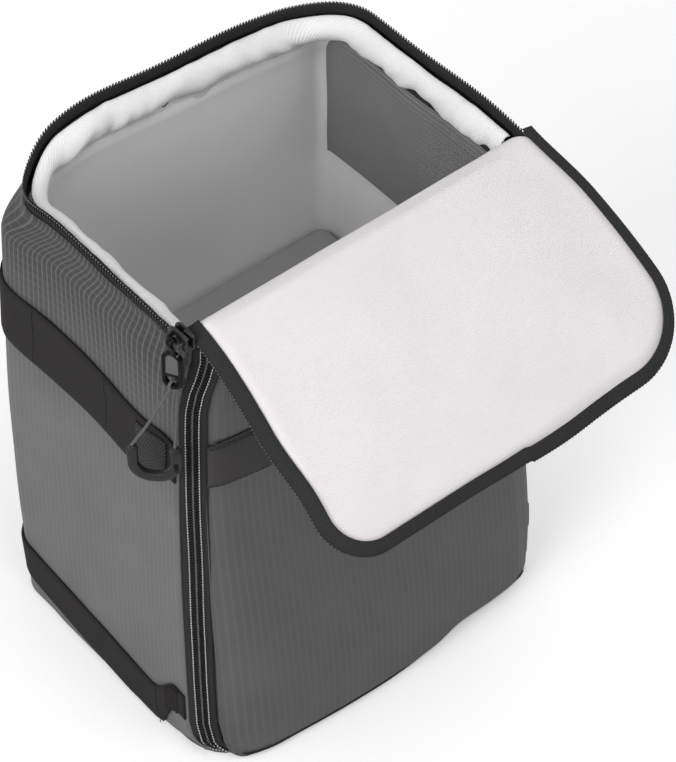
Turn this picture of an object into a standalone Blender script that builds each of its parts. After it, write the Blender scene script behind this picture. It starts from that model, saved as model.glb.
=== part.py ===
"""A camera bag insert: a tall padded box whose front and top zip open.

The front is a padded door that turns on the right front edge. The lid is
joined to the door's top edge, and lies folded forward here. Metres, +Z up,
front at -Y. The origin is the middle of the underside.
"""
import math

import bmesh
import bpy
from mathutils import Vector

# The padded walls
BOX_WIDTH = 0.238
BOX_DEPTH = 0.172
WALL_HEIGHT = 0.330
SKIN = 0.0012
BOARD = 0.007
LINING = 0.0012
GAP = 0.0003
WALL_CORNER = 0.018
BEVEL = 0.0106
FRONT_LEAN = 0.012
DOOR_BOW = 0.012
BOARD_DROP = 0.009
GUSSET_DROP = 0.022
GUSSET = 0.001
RIGHT_SWELL = 0.006

# The zip round the rim, the lid and the door
RIM_SIDE_SET_IN = 0.001
RIM_BACK_SET_IN = 0.003
RIM_CORNER = 0.042
RIM_TAPE = 0.003
TAPE = 0.001
TOOTH_PITCH = 0.0034
TOOTH_TIP = 0.0045
TOOTH_ROOT = 0.0025
TOOTH_THICKNESS = 0.0026
MESH_GAP = 0.0005
ZIP_CORNER = 0.012
ZIP_RISE_ANGLE = math.radians(50)
STOP_LENGTH = 0.005

# The lid, closed, measured from its fold line
FOLD_RISE = 0.014
FOLD_SET_BACK = 0.002
LID_START = 0.013
LID_HALF_WIDTH = 0.115
LID_LENGTH = 0.155
LID_CORNER = 0.036
LID_BOARD = 0.0045
LID_SKIN = 0.001
LID_TAPE = 0.004
LID_TAPE_ANGLE = math.radians(35)
LID_DROOP = math.radians(202)
LID_SWELL = 0.010
FLAP_START = 0.00085
FLAP_SLIDER_CLEAR = 0.0019
DOOR_TOP_DROP = 0.001
HINGE_END = 0.002
HINGE_SET_UP = 0.004

# The straps and the band
STRAP = 0.0016
UPPER_STRAP_WIDTH = 0.038
UPPER_STRAP_BASE = 0.213
UPPER_STRAP_CLIMB = 0.010
LOWER_STRAP_WIDTH = 0.0245
LOWER_STRAP_BASE = 0.004
LOWER_STRAP_CLIMB = 0.0165
STRAP_END_SET_BACK = 0.005
STRAP_FOLD = 0.014
STRAP_FOLD_THICKNESS = 0.0032
BAND_TOP = 0.252
BAND_WIDTH = 0.024
BAND_DEEP = 0.048
BAND_TAPER_SHARE = 0.35

# The pocket on the right lining
POCKET_TOP_DROP = 0.0077
POCKET_HEIGHT = 0.090
POCKET_SHEET = 0.0012
POCKET_RIB = 0.0012
POCKET_RIB_PITCH = 0.006
POCKET_FRONT_SET_IN = 0.008
HEM_HEIGHT = 0.010
HEM = 0.0034

# The padded dividers
SHELF_HEIGHT = 0.150
SHELF = 0.012
SHELF_FRONT_CLEAR = 0.014
LENS_RADIUS = 0.044
TAB = 0.001
TAB_DROP = 0.022
TAB_HALF_WIDTH = 0.040
UPRIGHT = 0.010
UPRIGHT_HEIGHT = 0.104
UPRIGHT_PLACE = 0.020
UPRIGHT_TAB_HALF_WIDTH = 0.018
UPRIGHT_TAB_SET_IN = 0.010

# The slider and its pull
SLIDER_LENGTH = 0.016
SLIDER_HALF_HEIGHT = 0.006
SLIDER_REAR_SHARE = 0.72
SLIDER_PLATE = 0.0015
SLIDER_SET_BACK = 0.004
POST_LENGTH = 0.005
POST_HALF_HEIGHT = 0.0006
BAR_RADIUS = 0.001
BAR_STAND_OFF = 0.0036
BAR_HALF_LENGTH = 0.005
EYE_INNER = 0.0014
EYE_OUTER = 0.0031
EYE_HALF_LENGTH = 0.0024
TAB_LENGTH = 0.034
TAB_HALF_SPAN = 0.006
TAB_THICKNESS = 0.0032
TAB_SLOT_HALF_SPAN = 0.0026
TAB_SLOT_LENGTH = 0.012
TAB_SLOT_FOOT = 0.003
GRIP_HALF_SPAN = 0.0145
GRIP_HEIGHT = 0.024
GRIP_WALL = 0.0065
GRIP_THICKNESS = 0.0045
GRIP_TURN = math.radians(45)
GRIP_DROP = 0.049
GRIP_NEAR_SET_IN = 0.003
GRIP_NEAR_STAND = 0.003
CORD_RADIUS = 0.0009
CORD_SHARES = (0.35, 0.75)
CORD_END = 0.003
CORD_STEPS = 4
CORD_TURN_STEPS = 4

# Fineness of the round stretches
CORNER_STEPS = 6
TAPE_STEP = 0.024
TURN_STEP = 0.003
DOOR_COLUMNS = 10
DOOR_ROWS = 8
CORNER_ROWS = 4
ROUND_SIDES = 16
WALL_COLUMNS = 8
WALL_ROWS = 12
LID_COLUMNS = 8
LID_ROWS = 6

# Places that follow from the sizes above
HALF_WIDTH = BOX_WIDTH / 2
FRONT = -BOX_DEPTH / 2
BACK = BOX_DEPTH / 2
WALL = SKIN + GAP + BOARD + GAP + LINING
LINING_INSET = SKIN + GAP + BOARD + GAP
DOOR_HALF = HALF_WIDTH - BEVEL
DOOR_TOP = WALL_HEIGHT - DOOR_TOP_DROP
MESH_HALF = (TOOTH_TIP + TOOTH_ROOT + MESH_GAP) / 2
DOOR_TAPE_END = BEVEL / math.sqrt(2) - TAPE - 2 * GAP
RIM_HALF = HALF_WIDTH - RIM_SIDE_SET_IN
RIM_BACK = BACK - RIM_BACK_SET_IN
RIM_TAPE_BASE = WALL_HEIGHT + GAP
RIM_TEETH_TIP = RIM_TAPE_BASE + RIM_TAPE + GAP + TOOTH_TIP
FOLD_Y = FRONT + FOLD_SET_BACK
FOLD_HEIGHT = WALL_HEIGHT + FOLD_RISE
LID_ZIP_START = LID_START + FOLD_SET_BACK
SLIDER_X = TAPE / 2 - RIM_HALF
SLIDER_Y = FRONT + SLIDER_SET_BACK
SLIDER_Z = RIM_TEETH_TIP + GAP + POST_HALF_HEIGHT
CHANNEL = TOOTH_THICKNESS / 2 + GAP
BAR_X = SLIDER_X - CHANNEL - SLIDER_PLATE - BAR_STAND_OFF
TAB_FOOT = SLIDER_Z - TAB_LENGTH
CORD_SIDE = TAB_THICKNESS / 2 + CORD_RADIUS + GAP
CORD_TOP = TAB_FOOT + TAB_SLOT_FOOT + CORD_SIDE


def clear_scene():
    for item in list(bpy.data.objects):
        bpy.data.objects.remove(item, do_unlink=True)


def material(name, colour, roughness, metallic=0.0):
    """A plain material of one colour."""
    made = bpy.data.materials.new(name)
    made.use_nodes = True
    shader = made.node_tree.nodes["Principled BSDF"]
    shader.inputs["Base Color"].default_value = (*colour, 1.0)
    shader.inputs["Roughness"].default_value = roughness
    shader.inputs["Metallic"].default_value = metallic
    return made


def add_object(name, mesh_data, finish, parent=None):
    """An object for one sub-part, carried by its parent where it has one."""
    mesh = bpy.data.meshes.new(name)
    mesh_data.to_mesh(mesh)
    mesh_data.free()
    mesh.materials.append(finish)
    made = bpy.data.objects.new(name, mesh)
    bpy.context.scene.collection.objects.link(made)
    made.parent = parent
    return made


def stand(item):
    """Where an empty stands in the whole part."""
    place = Vector((0, 0, 0))
    while item is not None:
        place += item.location
        item = item.parent
    return place


def hinge_empty(name, place, parent=None):
    """An empty on a joint's axis, which carries the pieces that move on it."""
    made = bpy.data.objects.new(name, None)
    bpy.context.scene.collection.objects.link(made)
    made.parent = parent
    made.location = Vector(place) - stand(parent)
    return made


def carry(pieces, carrier):
    """Hand finished pieces to an empty, and leave them where they are."""
    for piece in pieces:
        piece.parent = carrier
        piece.location -= stand(carrier)


def block(name, centre, sides, finish, parent=None):
    """A small block about a centre."""
    (x, y, z), (wide, deep, high) = centre, sides
    outline = [(x - wide / 2, y - deep / 2), (x + wide / 2, y - deep / 2),
               (x + wide / 2, y + deep / 2), (x - wide / 2, y + deep / 2)]
    return prism(name, outline, "Z", z - high / 2, z + high / 2, finish, parent)


def loft(name, rings, finish, parent=None, closed=False):
    """A closed solid through rings of the same number of points."""
    shape = bmesh.new()
    rows = [[shape.verts.new(point) for point in ring] for ring in rings]
    count = len(rings[0])
    pairs = list(zip(rows, rows[1:]))
    if closed:
        pairs.append((rows[-1], rows[0]))
    for low, high in pairs:
        for i in range(count):
            j = (i + 1) % count
            shape.faces.new((low[i], low[j], high[j], high[i]))
    if not closed:
        shape.faces.new(rows[0])
        shape.faces.new(rows[-1])
    bmesh.ops.recalc_face_normals(shape, faces=shape.faces)
    return add_object(name, shape, finish, parent)


def prism(name, outline, axis, low, high, finish, parent=None):
    """An outline in the two other axes, run along one axis."""
    order = {"X": lambda p, t: (t, p[0], p[1]),
             "Y": lambda p, t: (p[0], t, p[1]),
             "Z": lambda p, t: (p[0], p[1], t)}[axis]
    rings = [[order(point, low) for point in outline],
             [order(point, high) for point in outline]]
    return loft(name, rings, finish, parent)


def arc(centre, radius, start, end, steps=CORNER_STEPS):
    """Points of an arc, its ends included."""
    turns = [start + (end - start) * i / steps for i in range(steps + 1)]
    return [(centre[0] + radius * math.cos(a), centre[1] + radius * math.sin(a)) for a in turns]


def u_line(half_width, start, far, radius, finish):
    """A U with two round corners: its marks, and its point and outward direction."""
    way = math.copysign(1, far - start)
    first = abs(far - start) - radius
    turn = math.pi / 2 * radius
    across = 2 * (half_width - radius)
    last = abs(far - finish) - radius

    def at(distance):
        if distance <= first:
            return Vector((-half_width, start + way * distance)), Vector((-1, 0))
        distance -= first
        if distance <= turn:
            angle = distance / radius
            out = Vector((-math.cos(angle), way * math.sin(angle)))
            return Vector((radius - half_width, far - way * radius)) + out * radius, out
        distance -= turn
        if distance <= across:
            return Vector((radius - half_width + distance, far)), Vector((0, way))
        distance -= across
        if distance <= turn:
            angle = distance / radius
            out = Vector((math.sin(angle), way * math.cos(angle)))
            return Vector((half_width - radius, far - way * radius)) + out * radius, out
        distance -= turn
        return Vector((half_width, far - way * (radius + distance))), Vector((1, 0))

    marks = [0]
    for stretch, step in ((first, TAPE_STEP), (turn, TURN_STEP), (across, TAPE_STEP),
                          (turn, TURN_STEP), (last, TAPE_STEP)):
        count = math.ceil(stretch / step)
        begin = marks[-1]
        marks += [begin + stretch * (i + 1) / count for i in range(count)]
    return marks, at


def between(start, end, count):
    """Even places from a start to just before an end."""
    return [start + (end - start) * i / count for i in range(count)]


def u_plan(half_width, front, back, radius):
    """The plan of a wall on three sides: points from front left round to front right."""
    left = arc((radius - half_width, back - radius), radius, math.pi, math.pi / 2)
    right = arc((half_width - radius, back - radius), radius, math.pi / 2, 0)
    ys = between(front, back - radius, WALL_COLUMNS)
    return [(-half_width, front)] + left + right + [(half_width, y) for y in reversed(ys)]


def swell(x, y, height):
    """How far the right wall's padding stands out: most in its middle, none at its lining."""
    out = min(max((x - HALF_WIDTH + WALL) / WALL, 0), 1)
    along = min(max((y - FRONT) / BOX_DEPTH, 0), 1)
    up = min(max(height / WALL_HEIGHT, 0), 1)
    return RIGHT_SWELL * out * math.sin(math.pi * along) * math.sin(math.pi * up)


def swollen(x, y, height):
    return x + swell(x, y, height), y, height


def wall_rows(low, high):
    """The heights of a wall piece, with the rows that all the wall pieces share."""
    shared = [WALL_HEIGHT * i / WALL_ROWS for i in range(1, WALL_ROWS)]
    return [low] + [height for height in shared if low + GAP < height < high - GAP] + [high]


def u_wall(name, levels, thickness, finish, parent=None):
    """A wall on three sides through levels of height, half width, front, back and corner."""
    rings = []
    for height, half_width, front, back, radius in levels:
        outer = u_plan(half_width, front, back, radius)
        inner = u_plan(half_width - thickness, front, back - thickness, radius - thickness)
        rings.append([swollen(x, y, height) for x, y in outer + inner[::-1]])
    return loft(name, rings, finish, parent)


def lean(height):
    """How far the front stands forward at a height, before its bow."""
    return FRONT_LEAN * (1 - height / WALL_HEIGHT)


def front_at(x, height):
    """The Y of the front's outer face."""
    across = x / HALF_WIDTH
    up = height / WALL_HEIGHT
    return FRONT - lean(height) - DOOR_BOW * (1 - across ** 2) * max(0.0, 1 - up ** 2)


def wall_front(height):
    """The Y of the side walls' front edge."""
    return FRONT + BEVEL - lean(height)


def door_rows(low, high):
    """The door's heights, each with how far its side stands in at a lower corner."""
    radius = ZIP_CORNER - BEVEL / 2
    turns = [math.pi / 2 * i / CORNER_ROWS for i in range(CORNER_ROWS)]
    rows = [(low + radius * (1 - math.cos(a)), radius * (1 - math.sin(a))) for a in turns]
    start = low + radius
    rows += [(start + (high - start) * i / DOOR_ROWS, 0) for i in range(DOOR_ROWS + 1)]
    return rows


def sheet(name, outer, inner, finish, parent=None):
    """A closed sheet between two grids of points."""
    shape = bmesh.new()
    outer, inner = [[[shape.verts.new(point) for point in row] for row in grid] for grid in (outer, inner)]
    rows, columns = len(outer) - 1, len(outer[0]) - 1
    for row in range(rows):
        for i in range(columns):
            for grid in (outer, inner):
                low_row, high_row = grid[row], grid[row + 1]
                shape.faces.new((low_row[i], low_row[i + 1], high_row[i + 1], high_row[i]))
    for row in (0, rows):
        for i in range(columns):
            shape.faces.new((outer[row][i], outer[row][i + 1], inner[row][i + 1], inner[row][i]))
    for i in (0, columns):
        for row in range(rows):
            shape.faces.new((outer[row][i], outer[row + 1][i], inner[row + 1][i], inner[row][i]))
    bmesh.ops.recalc_face_normals(shape, faces=shape.faces)
    return add_object(name, shape, finish, parent)


def spread(half, count):
    """Even places from minus a half width to plus it."""
    return [half * (2 * i / count - 1) for i in range(count + 1)]


def bowed_sheet(name, depth, thickness, finish):
    """A sheet of the door, which follows the front's face at a depth behind it."""
    grids = []
    for back_off in (depth, depth + thickness):
        grid = []
        for height, set_in in door_rows(BEVEL, DOOR_TOP):
            xs = spread(DOOR_HALF - set_in, DOOR_COLUMNS)
            grid.append([(x, front_at(x, height) + back_off, height) for x in xs])
        grids.append(grid)
    return sheet(name, *grids, finish)


def zip_tape(name, marks, place, near, far, finish, parent=None):
    """A flat tape along a line's marks, from one distance across it to another."""
    rings = []
    for run in marks:
        centre, across, out = place(run)
        rings.append([centre + across * near, centre + across * far,
                      centre + across * far - out * TAPE, centre + across * near - out * TAPE])
    return loft(name, rings, finish, parent)


def zip_teeth(name, length, place, root, way, phase, finish, parent=None):
    """Zip teeth along a line: each tooth is a wedge, and the two sides' teeth alternate."""
    rings = []
    half_pitch = TOOTH_PITCH / 2
    for i in range(math.floor(length / half_pitch) + 1):
        centre, across, out = place(i * half_pitch)
        centre = centre - out * (TAPE / 2)
        reach = TOOTH_TIP if (i + phase) % 2 == 0 else TOOTH_ROOT
        foot = centre + across * root
        rings.append([foot + out * (TOOTH_THICKNESS / 2), foot - out * (TOOTH_THICKNESS / 2),
                      foot + across * (way * reach)])
    return loft(name, rings, finish, parent)


def join(target, other, operation="UNION"):
    """Fuse a shape with a sub-part, or cut it out."""
    change = target.modifiers.new(other.name, "BOOLEAN")
    change.operation = operation
    change.object = other
    change.solver = "EXACT"
    other.hide_render = True
    other.display_type = "WIRE"


def make_walls(looks):
    """The three fixed walls, each with its skin, board and lining."""
    board_top = WALL_HEIGHT - BOARD_DROP - GAP
    board_low = WALL + GAP
    shoulder = WALL_HEIGHT - BOARD_DROP
    levels = [(height, HALF_WIDTH, wall_front(height), BACK, WALL_CORNER)
              for height in wall_rows(SKIN + GAP, shoulder)]
    levels.append((WALL_HEIGHT, RIM_HALF, wall_front(WALL_HEIGHT), RIM_BACK, RIM_CORNER))
    u_wall("side_wrap", levels, SKIN, looks["shell"])

    outer = SKIN + GAP
    side_back = BACK - WALL_CORNER
    outline = [(wall_front(board_low), board_low), (side_back, board_low),
               (side_back, board_top), (wall_front(board_top), board_top)]
    prism("left_board", outline, "X", outer - HALF_WIDTH, outer + BOARD - HALF_WIDTH, looks["foam"])
    grids = []
    for x in (HALF_WIDTH - outer, HALF_WIDTH - outer - BOARD):
        grid = []
        for height in wall_rows(board_low, board_top):
            ys = between(wall_front(height), side_back, WALL_COLUMNS) + [side_back]
            grid.append([swollen(x, y, height) for y in ys])
        grids.append(grid)
    sheet("right_board", *grids, looks["foam"])
    back_half = HALF_WIDTH - WALL_CORNER
    outline = [(-back_half, board_low), (back_half, board_low),
               (back_half, board_top), (-back_half, board_top)]
    prism("back_board", outline, "Y", BACK - outer - BOARD, BACK - outer, looks["foam"])

    corner = WALL_CORNER - LINING_INSET
    half = HALF_WIDTH - LINING_INSET
    back = BACK - LINING_INSET
    gusset_low = WALL_HEIGHT - GUSSET_DROP
    levels = [(height, half, wall_front(height), back, corner)
              for height in (board_low, gusset_low - GAP)]
    u_wall("side_lining", levels, LINING, looks["lining"])
    levels = [(height, half, wall_front(height), back, corner)
              for height in (gusset_low, board_top + GAP)]
    set_in = SKIN + GAP
    levels.append((WALL_HEIGHT, RIM_HALF - set_in, wall_front(WALL_HEIGHT), RIM_BACK - set_in,
                   RIM_CORNER - set_in))
    u_wall("rim_gusset", levels, GUSSET, looks["pale_lining"])


def base_outline(set_in):
    """The base seen from above: a bowed front edge and two round back corners."""
    half = HALF_WIDTH - set_in
    corner = WALL_CORNER - set_in
    back = BACK - set_in
    xs = [half * (2 * i / DOOR_COLUMNS - 1) for i in range(DOOR_COLUMNS + 1)]
    front = [(x, front_at(x, 0) + BEVEL) for x in xs]
    right = arc((half - corner, back - corner), corner, 0, math.pi / 2)
    left = arc((corner - half, back - corner), corner, math.pi / 2, math.pi)
    return front + right + left


def make_base(looks):
    """The base: its outer panel, its board and its lining."""
    set_in = SKIN + GAP
    prism("base_panel", base_outline(0), "Z", 0, SKIN, looks["shell"])
    prism("base_board", base_outline(set_in), "Z", set_in, set_in + BOARD, looks["foam"])
    prism("base_lining", base_outline(set_in), "Z", LINING_INSET, WALL, looks["lining"])


def rim_line():
    """The rim zip's marks, and its place, its teeth's way and its outer face at a distance."""
    marks, at = u_line(RIM_HALF, FRONT, RIM_BACK, RIM_CORNER, FRONT)

    def place(distance):
        point, out = at(distance)
        return Vector((point.x, point.y, RIM_TAPE_BASE)), Vector((0, 0, 1)), out.to_3d()

    return marks, place


def lid_line():
    """The lid zip's line on the closed lid, measured from the fold."""
    half = LID_HALF_WIDTH + GAP
    marks, at = u_line(half, LID_ZIP_START, LID_LENGTH + GAP, LID_CORNER, LID_ZIP_START)
    tilt, rise = math.cos(LID_TAPE_ANGLE), math.sin(LID_TAPE_ANGLE)

    def place(distance):
        point, out = at(distance)
        across = out.to_3d() * tilt - Vector((0, 0, rise))
        face = out.to_3d() * rise + Vector((0, 0, tilt))
        return Vector((point.x, point.y, LINING + TAPE)), across, face

    return marks, place


def door_line():
    """The door zip's line on the bevel between the door and the walls."""
    half = HALF_WIDTH - BEVEL / 2
    low = BEVEL / 2
    marks, at = u_line(half, DOOR_TOP, low, ZIP_CORNER, DOOR_TOP)
    last_side = DOOR_TOP - low - ZIP_CORNER
    length = marks[-1] - last_side - (math.pi / 2 - ZIP_RISE_ANGLE) * ZIP_CORNER
    marks = [run for run in marks if run < length - TAPE] + [length]

    def place(distance):
        point, out = at(distance)
        across = Vector((out.x, 1, out.y)).normalized()
        face = Vector((out.x, -1, out.y)).normalized()
        return Vector((point.x, front_at(point.x, point.y) + BEVEL / 2, point.y)), across, face

    return marks, place


def make_box_zips(looks):
    """The box's side of both zips."""
    marks, place = rim_line()
    length = marks[-1]
    root = RIM_TAPE + GAP
    zip_tape("rim_tape", marks, place, 0, RIM_TAPE, looks["tape"])
    zip_teeth("rim_teeth", length - STOP_LENGTH, place, root, 1, 0, looks["teeth"])
    centre, across, out = place(length - STOP_LENGTH / 2)
    centre = centre - out * (TAPE / 2) + across * (root + TOOTH_TIP / 2)
    block("rim_stop", centre, (TOOTH_THICKNESS, STOP_LENGTH - 2 * GAP, TOOTH_TIP), looks["steel"])
    marks, place = door_line()
    zip_tape("frame_tape", marks, place, MESH_HALF + GAP, DOOR_TAPE_END, looks["tape"])
    zip_teeth("frame_teeth", marks[-1], place, MESH_HALF, -1, 1, looks["teeth"])


def strap(name, low, width, climb, finish):
    """Webbing round three walls, a little higher at the back, with a folded end on each side."""
    half = HALF_WIDTH + GAP
    front = wall_front(low) + STRAP_END_SET_BACK
    fold = front + STRAP_FOLD
    plan = u_plan(half, fold + GAP, BACK + GAP, WALL_CORNER + GAP)
    turns = [math.pi] + [math.pi - math.pi / 2 * i / CORNER_STEPS for i in range(CORNER_STEPS + 1)]
    turns += [math.pi / 2 - math.pi / 2 * i / CORNER_STEPS for i in range(CORNER_STEPS + 1)]
    turns += [0] * WALL_COLUMNS
    ends = (front, STRAP_FOLD_THICKNESS), (fold, STRAP_FOLD_THICKNESS)
    places = [((-half, y), math.pi, thick) for y, thick in ends]
    places += [(point, turn, STRAP) for point, turn in zip(plan, turns)]
    places += [((half, y), 0, thick) for y, thick in reversed(ends)]
    rings = []
    for (x, y), turn, thick in places:
        far_x, far_y = x + math.cos(turn) * thick, y + math.sin(turn) * thick
        base = low + climb * (y - FRONT) / BOX_DEPTH
        top = base + width
        rings.append([swollen(x, y, base), swollen(far_x, far_y, base),
                      swollen(far_x, far_y, top), swollen(x, y, top)])
    return loft(name, rings, finish)


def make_pocket(looks):
    """The ribbed pocket and its hem on the right lining."""
    face = HALF_WIDTH - WALL - GAP
    front = wall_front(WALL_HEIGHT) + POCKET_FRONT_SET_IN
    back = BACK - WALL_CORNER - GAP
    ribs = round(POCKET_HEIGHT / POCKET_RIB_PITCH)
    top = WALL_HEIGHT - POCKET_TOP_DROP - HEM_HEIGHT - GAP
    base = top - POCKET_HEIGHT
    pitch = POCKET_HEIGHT / ribs
    section = [(face, base), (face, top)]
    valley, crest = face - POCKET_SHEET, face - POCKET_SHEET - POCKET_RIB
    for i in range(ribs, 0, -1):
        section.append((valley, base + pitch * i))
        section.append((crest, base + pitch * (i - 1 / 2)))
    section.append((valley, base))
    rings = [[(x, y, z) for x, z in section] for y in (front, back)]
    loft("pocket_panel", rings, looks["pocket"])
    low = top + GAP
    outline = [(face - HEM, front), (face, front), (face, back), (face - HEM, back)]
    prism("pocket_hem", outline, "Z", low, low + HEM_HEIGHT, looks["tape"])


def make_shelf(looks):
    """The padded shelf with its lens opening, and the hook tab on each end."""
    carrier = hinge_empty("shelf_slide", (0, 0, SHELF_HEIGHT))
    half = HALF_WIDTH - WALL - GAP - TAB - GAP
    back = BACK - WALL - GAP
    front = wall_front(SHELF_HEIGHT) + SHELF_FRONT_CLEAR
    cut = arc((0, front + LENS_RADIUS), LENS_RADIUS, math.pi, 0, 2 * CORNER_STEPS)
    corner = WALL_CORNER - WALL
    outline = [(-half, front), (-LENS_RADIUS, front)] + cut + [(LENS_RADIUS, front), (half, front)]
    outline += arc((half - corner, back - corner), corner, 0, math.pi / 2)
    outline += arc((corner - half, back - corner), corner, math.pi / 2, math.pi)
    prism("lens_shelf", outline, "Z", 0, SHELF, looks["divider"], carrier)
    middle = (front + back) / 2
    near, far = middle - TAB_HALF_WIDTH, middle + TAB_HALF_WIDTH
    face = [(near, -TAB_DROP), (far, -TAB_DROP), (far, SHELF), (near, SHELF)]
    prism("shelf_left_tab", face, "X", -half - GAP - TAB, -half - GAP, looks["hook"], carrier)
    prism("shelf_right_tab", face, "X", half + GAP, half + GAP + TAB, looks["hook"], carrier)


def make_upright(looks):
    """The padded upright under the shelf, and the hook tab on its back edge."""
    carrier = hinge_empty("upright_slide", (UPRIGHT_PLACE, 0, WALL + GAP))
    front = wall_front(SHELF_HEIGHT) + SHELF_FRONT_CLEAR
    back = BACK - WALL - GAP - TAB - GAP
    outline = [(front, 0), (back, 0), (back, UPRIGHT_HEIGHT), (front, UPRIGHT_HEIGHT)]
    prism("upright_divider", outline, "X", -UPRIGHT / 2, UPRIGHT / 2, looks["divider"], carrier)
    low, high = UPRIGHT_TAB_SET_IN, UPRIGHT_HEIGHT - UPRIGHT_TAB_SET_IN
    wide = UPRIGHT_TAB_HALF_WIDTH
    outline = [(-wide, low), (wide, low), (wide, high), (-wide, high)]
    prism("upright_back_tab", outline, "Y", back + GAP, back + GAP + TAB, looks["hook"], carrier)


def front_band(finish):
    """The band sewn across the front, narrow at its ends and deep in the middle."""
    rings = []
    for i in range(DOOR_COLUMNS + 1):
        share = 2 * i / DOOR_COLUMNS - 1
        x = share * (DOOR_HALF - GAP)
        deep = min(1, (1 - abs(share)) / BAND_TAPER_SHARE)
        low = BAND_TOP - BAND_WIDTH - (BAND_DEEP - BAND_WIDTH) * math.sin(deep * math.pi / 2)
        ring = []
        for height, stand in ((low, 2 * GAP), (BAND_TOP, 2 * GAP),
                              (BAND_TOP, 2 * GAP + STRAP), (low, 2 * GAP + STRAP)):
            ring.append((x, front_at(x, height) - stand, height))
        rings.append(ring)
    return loft("front_band", rings, finish)


def hinge_strips(finish):
    """The strip beside the door, short of its hinge line, and the strip up to the lid's fold."""
    rings = []
    reach = BEVEL - HINGE_END - TAPE
    inward = Vector((-1, 1, 0)).normalized() * TAPE
    foot = BEVEL + ZIP_CORNER + HINGE_SET_UP
    for i in range(DOOR_ROWS + 1):
        height = foot + (DOOR_TOP - foot) * i / DOOR_ROWS
        near = Vector((DOOR_HALF + TAPE, front_at(DOOR_HALF, height) + TAPE, height))
        far = near + Vector((reach, reach, 0))
        rings.append([near, far, far + inward, near + inward])
    side = loft("side_hinge_strip", rings, finish)
    low, high = DOOR_TOP + GAP, FOLD_HEIGHT - TAPE / 2 - GAP
    middle = (0, FOLD_Y + TAPE / 2, (low + high) / 2)
    return [side, block("top_hinge_strip", middle, (2 * (DOOR_HALF - GAP), TAPE, high - low), finish)]


def make_door(looks):
    """The padded door, its side of the zip, its band and its two hinge strips."""
    hinge = hinge_empty("door_hinge", (HALF_WIDTH, wall_front(0), 0))
    marks, place = door_line()
    far, near = -DOOR_TAPE_END, -MESH_HALF - GAP
    pieces = [bowed_sheet("door_shell", 0, SKIN, looks["shell"]),
              bowed_sheet("door_board", SKIN + GAP, BOARD, looks["foam"]),
              bowed_sheet("door_lining", LINING_INSET, LINING, looks["lining"]),
              zip_tape("door_tape", marks, place, far, near, looks["tape"]),
              zip_teeth("door_teeth", marks[-1], place, -MESH_HALF, 1, 0, looks["teeth"]),
              front_band(looks["webbing"])]
    pieces += hinge_strips(looks["shell"])
    carry(pieces, hinge)
    return hinge


def lid_sheet(name, set_in, low, thickness, finish, parent):
    """A sheet of the lid, measured from the fold, with two round far corners and a full middle."""
    corner = LID_CORNER - set_in
    bend = LID_LENGTH - set_in - corner
    rows = [(away, 0) for away in between(LID_START, bend, LID_ROWS)]
    turns = [math.pi / 2 * i / CORNER_STEPS for i in range(CORNER_STEPS + 1)]
    rows += [(bend + corner * math.sin(a), corner * (1 - math.cos(a))) for a in turns]
    grids = []
    for height in (low, low + thickness):
        grid = []
        for away, narrow in rows:
            xs = spread(LID_HALF_WIDTH - set_in - narrow, LID_COLUMNS)
            grid.append([(x, away, height - lid_swell(x, away)) for x in xs])
        grids.append(grid)
    return sheet(name, *grids, finish, parent)


def lid_swell(x, away):
    """How far the lid's middle stands in from its edges."""
    across = 1 - min(abs(x) / (LID_HALF_WIDTH - TAPE), 1) ** 4
    along = min(max((away - LID_START) / (LID_LENGTH - TAPE - LID_START), 0), 1)
    return LID_SWELL * across * math.sin(math.pi * along)


def make_lid(looks, door):
    """The padded lid and its side of the rim zip, carried at the fold."""
    hinge = hinge_empty("lid_fold", (0, FOLD_Y, FOLD_HEIGHT), door)
    hinge.rotation_euler = (LID_DROOP, 0, 0)
    board_low = LINING + GAP
    skin_low = board_low + LID_BOARD + GAP
    lid_sheet("lid_lining", 0, 0, LINING, looks["pale_lining"], hinge)
    lid_sheet("lid_board", TAPE, board_low, LID_BOARD, looks["foam"], hinge)
    lid_sheet("lid_shell", 0, skin_low, LID_SKIN, looks["shell"], hinge)
    half = -SLIDER_X - CHANNEL - SLIDER_PLATE - FLAP_SLIDER_CLEAR
    outline = [(-half, FLAP_START), (half, FLAP_START),
               (half, LID_START - GAP), (-half, LID_START - GAP)]
    prism("lid_hinge_flap", outline, "Z", -TAPE / 2, TAPE / 2, looks["pale_lining"], hinge)
    marks, place = lid_line()
    root = LID_TAPE + GAP
    zip_tape("lid_tape", marks, place, TAPE, LID_TAPE, looks["tape"], hinge)
    zip_teeth("lid_teeth", marks[-1] - STOP_LENGTH, place, root, 1, 1, looks["teeth"], hinge)


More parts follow.
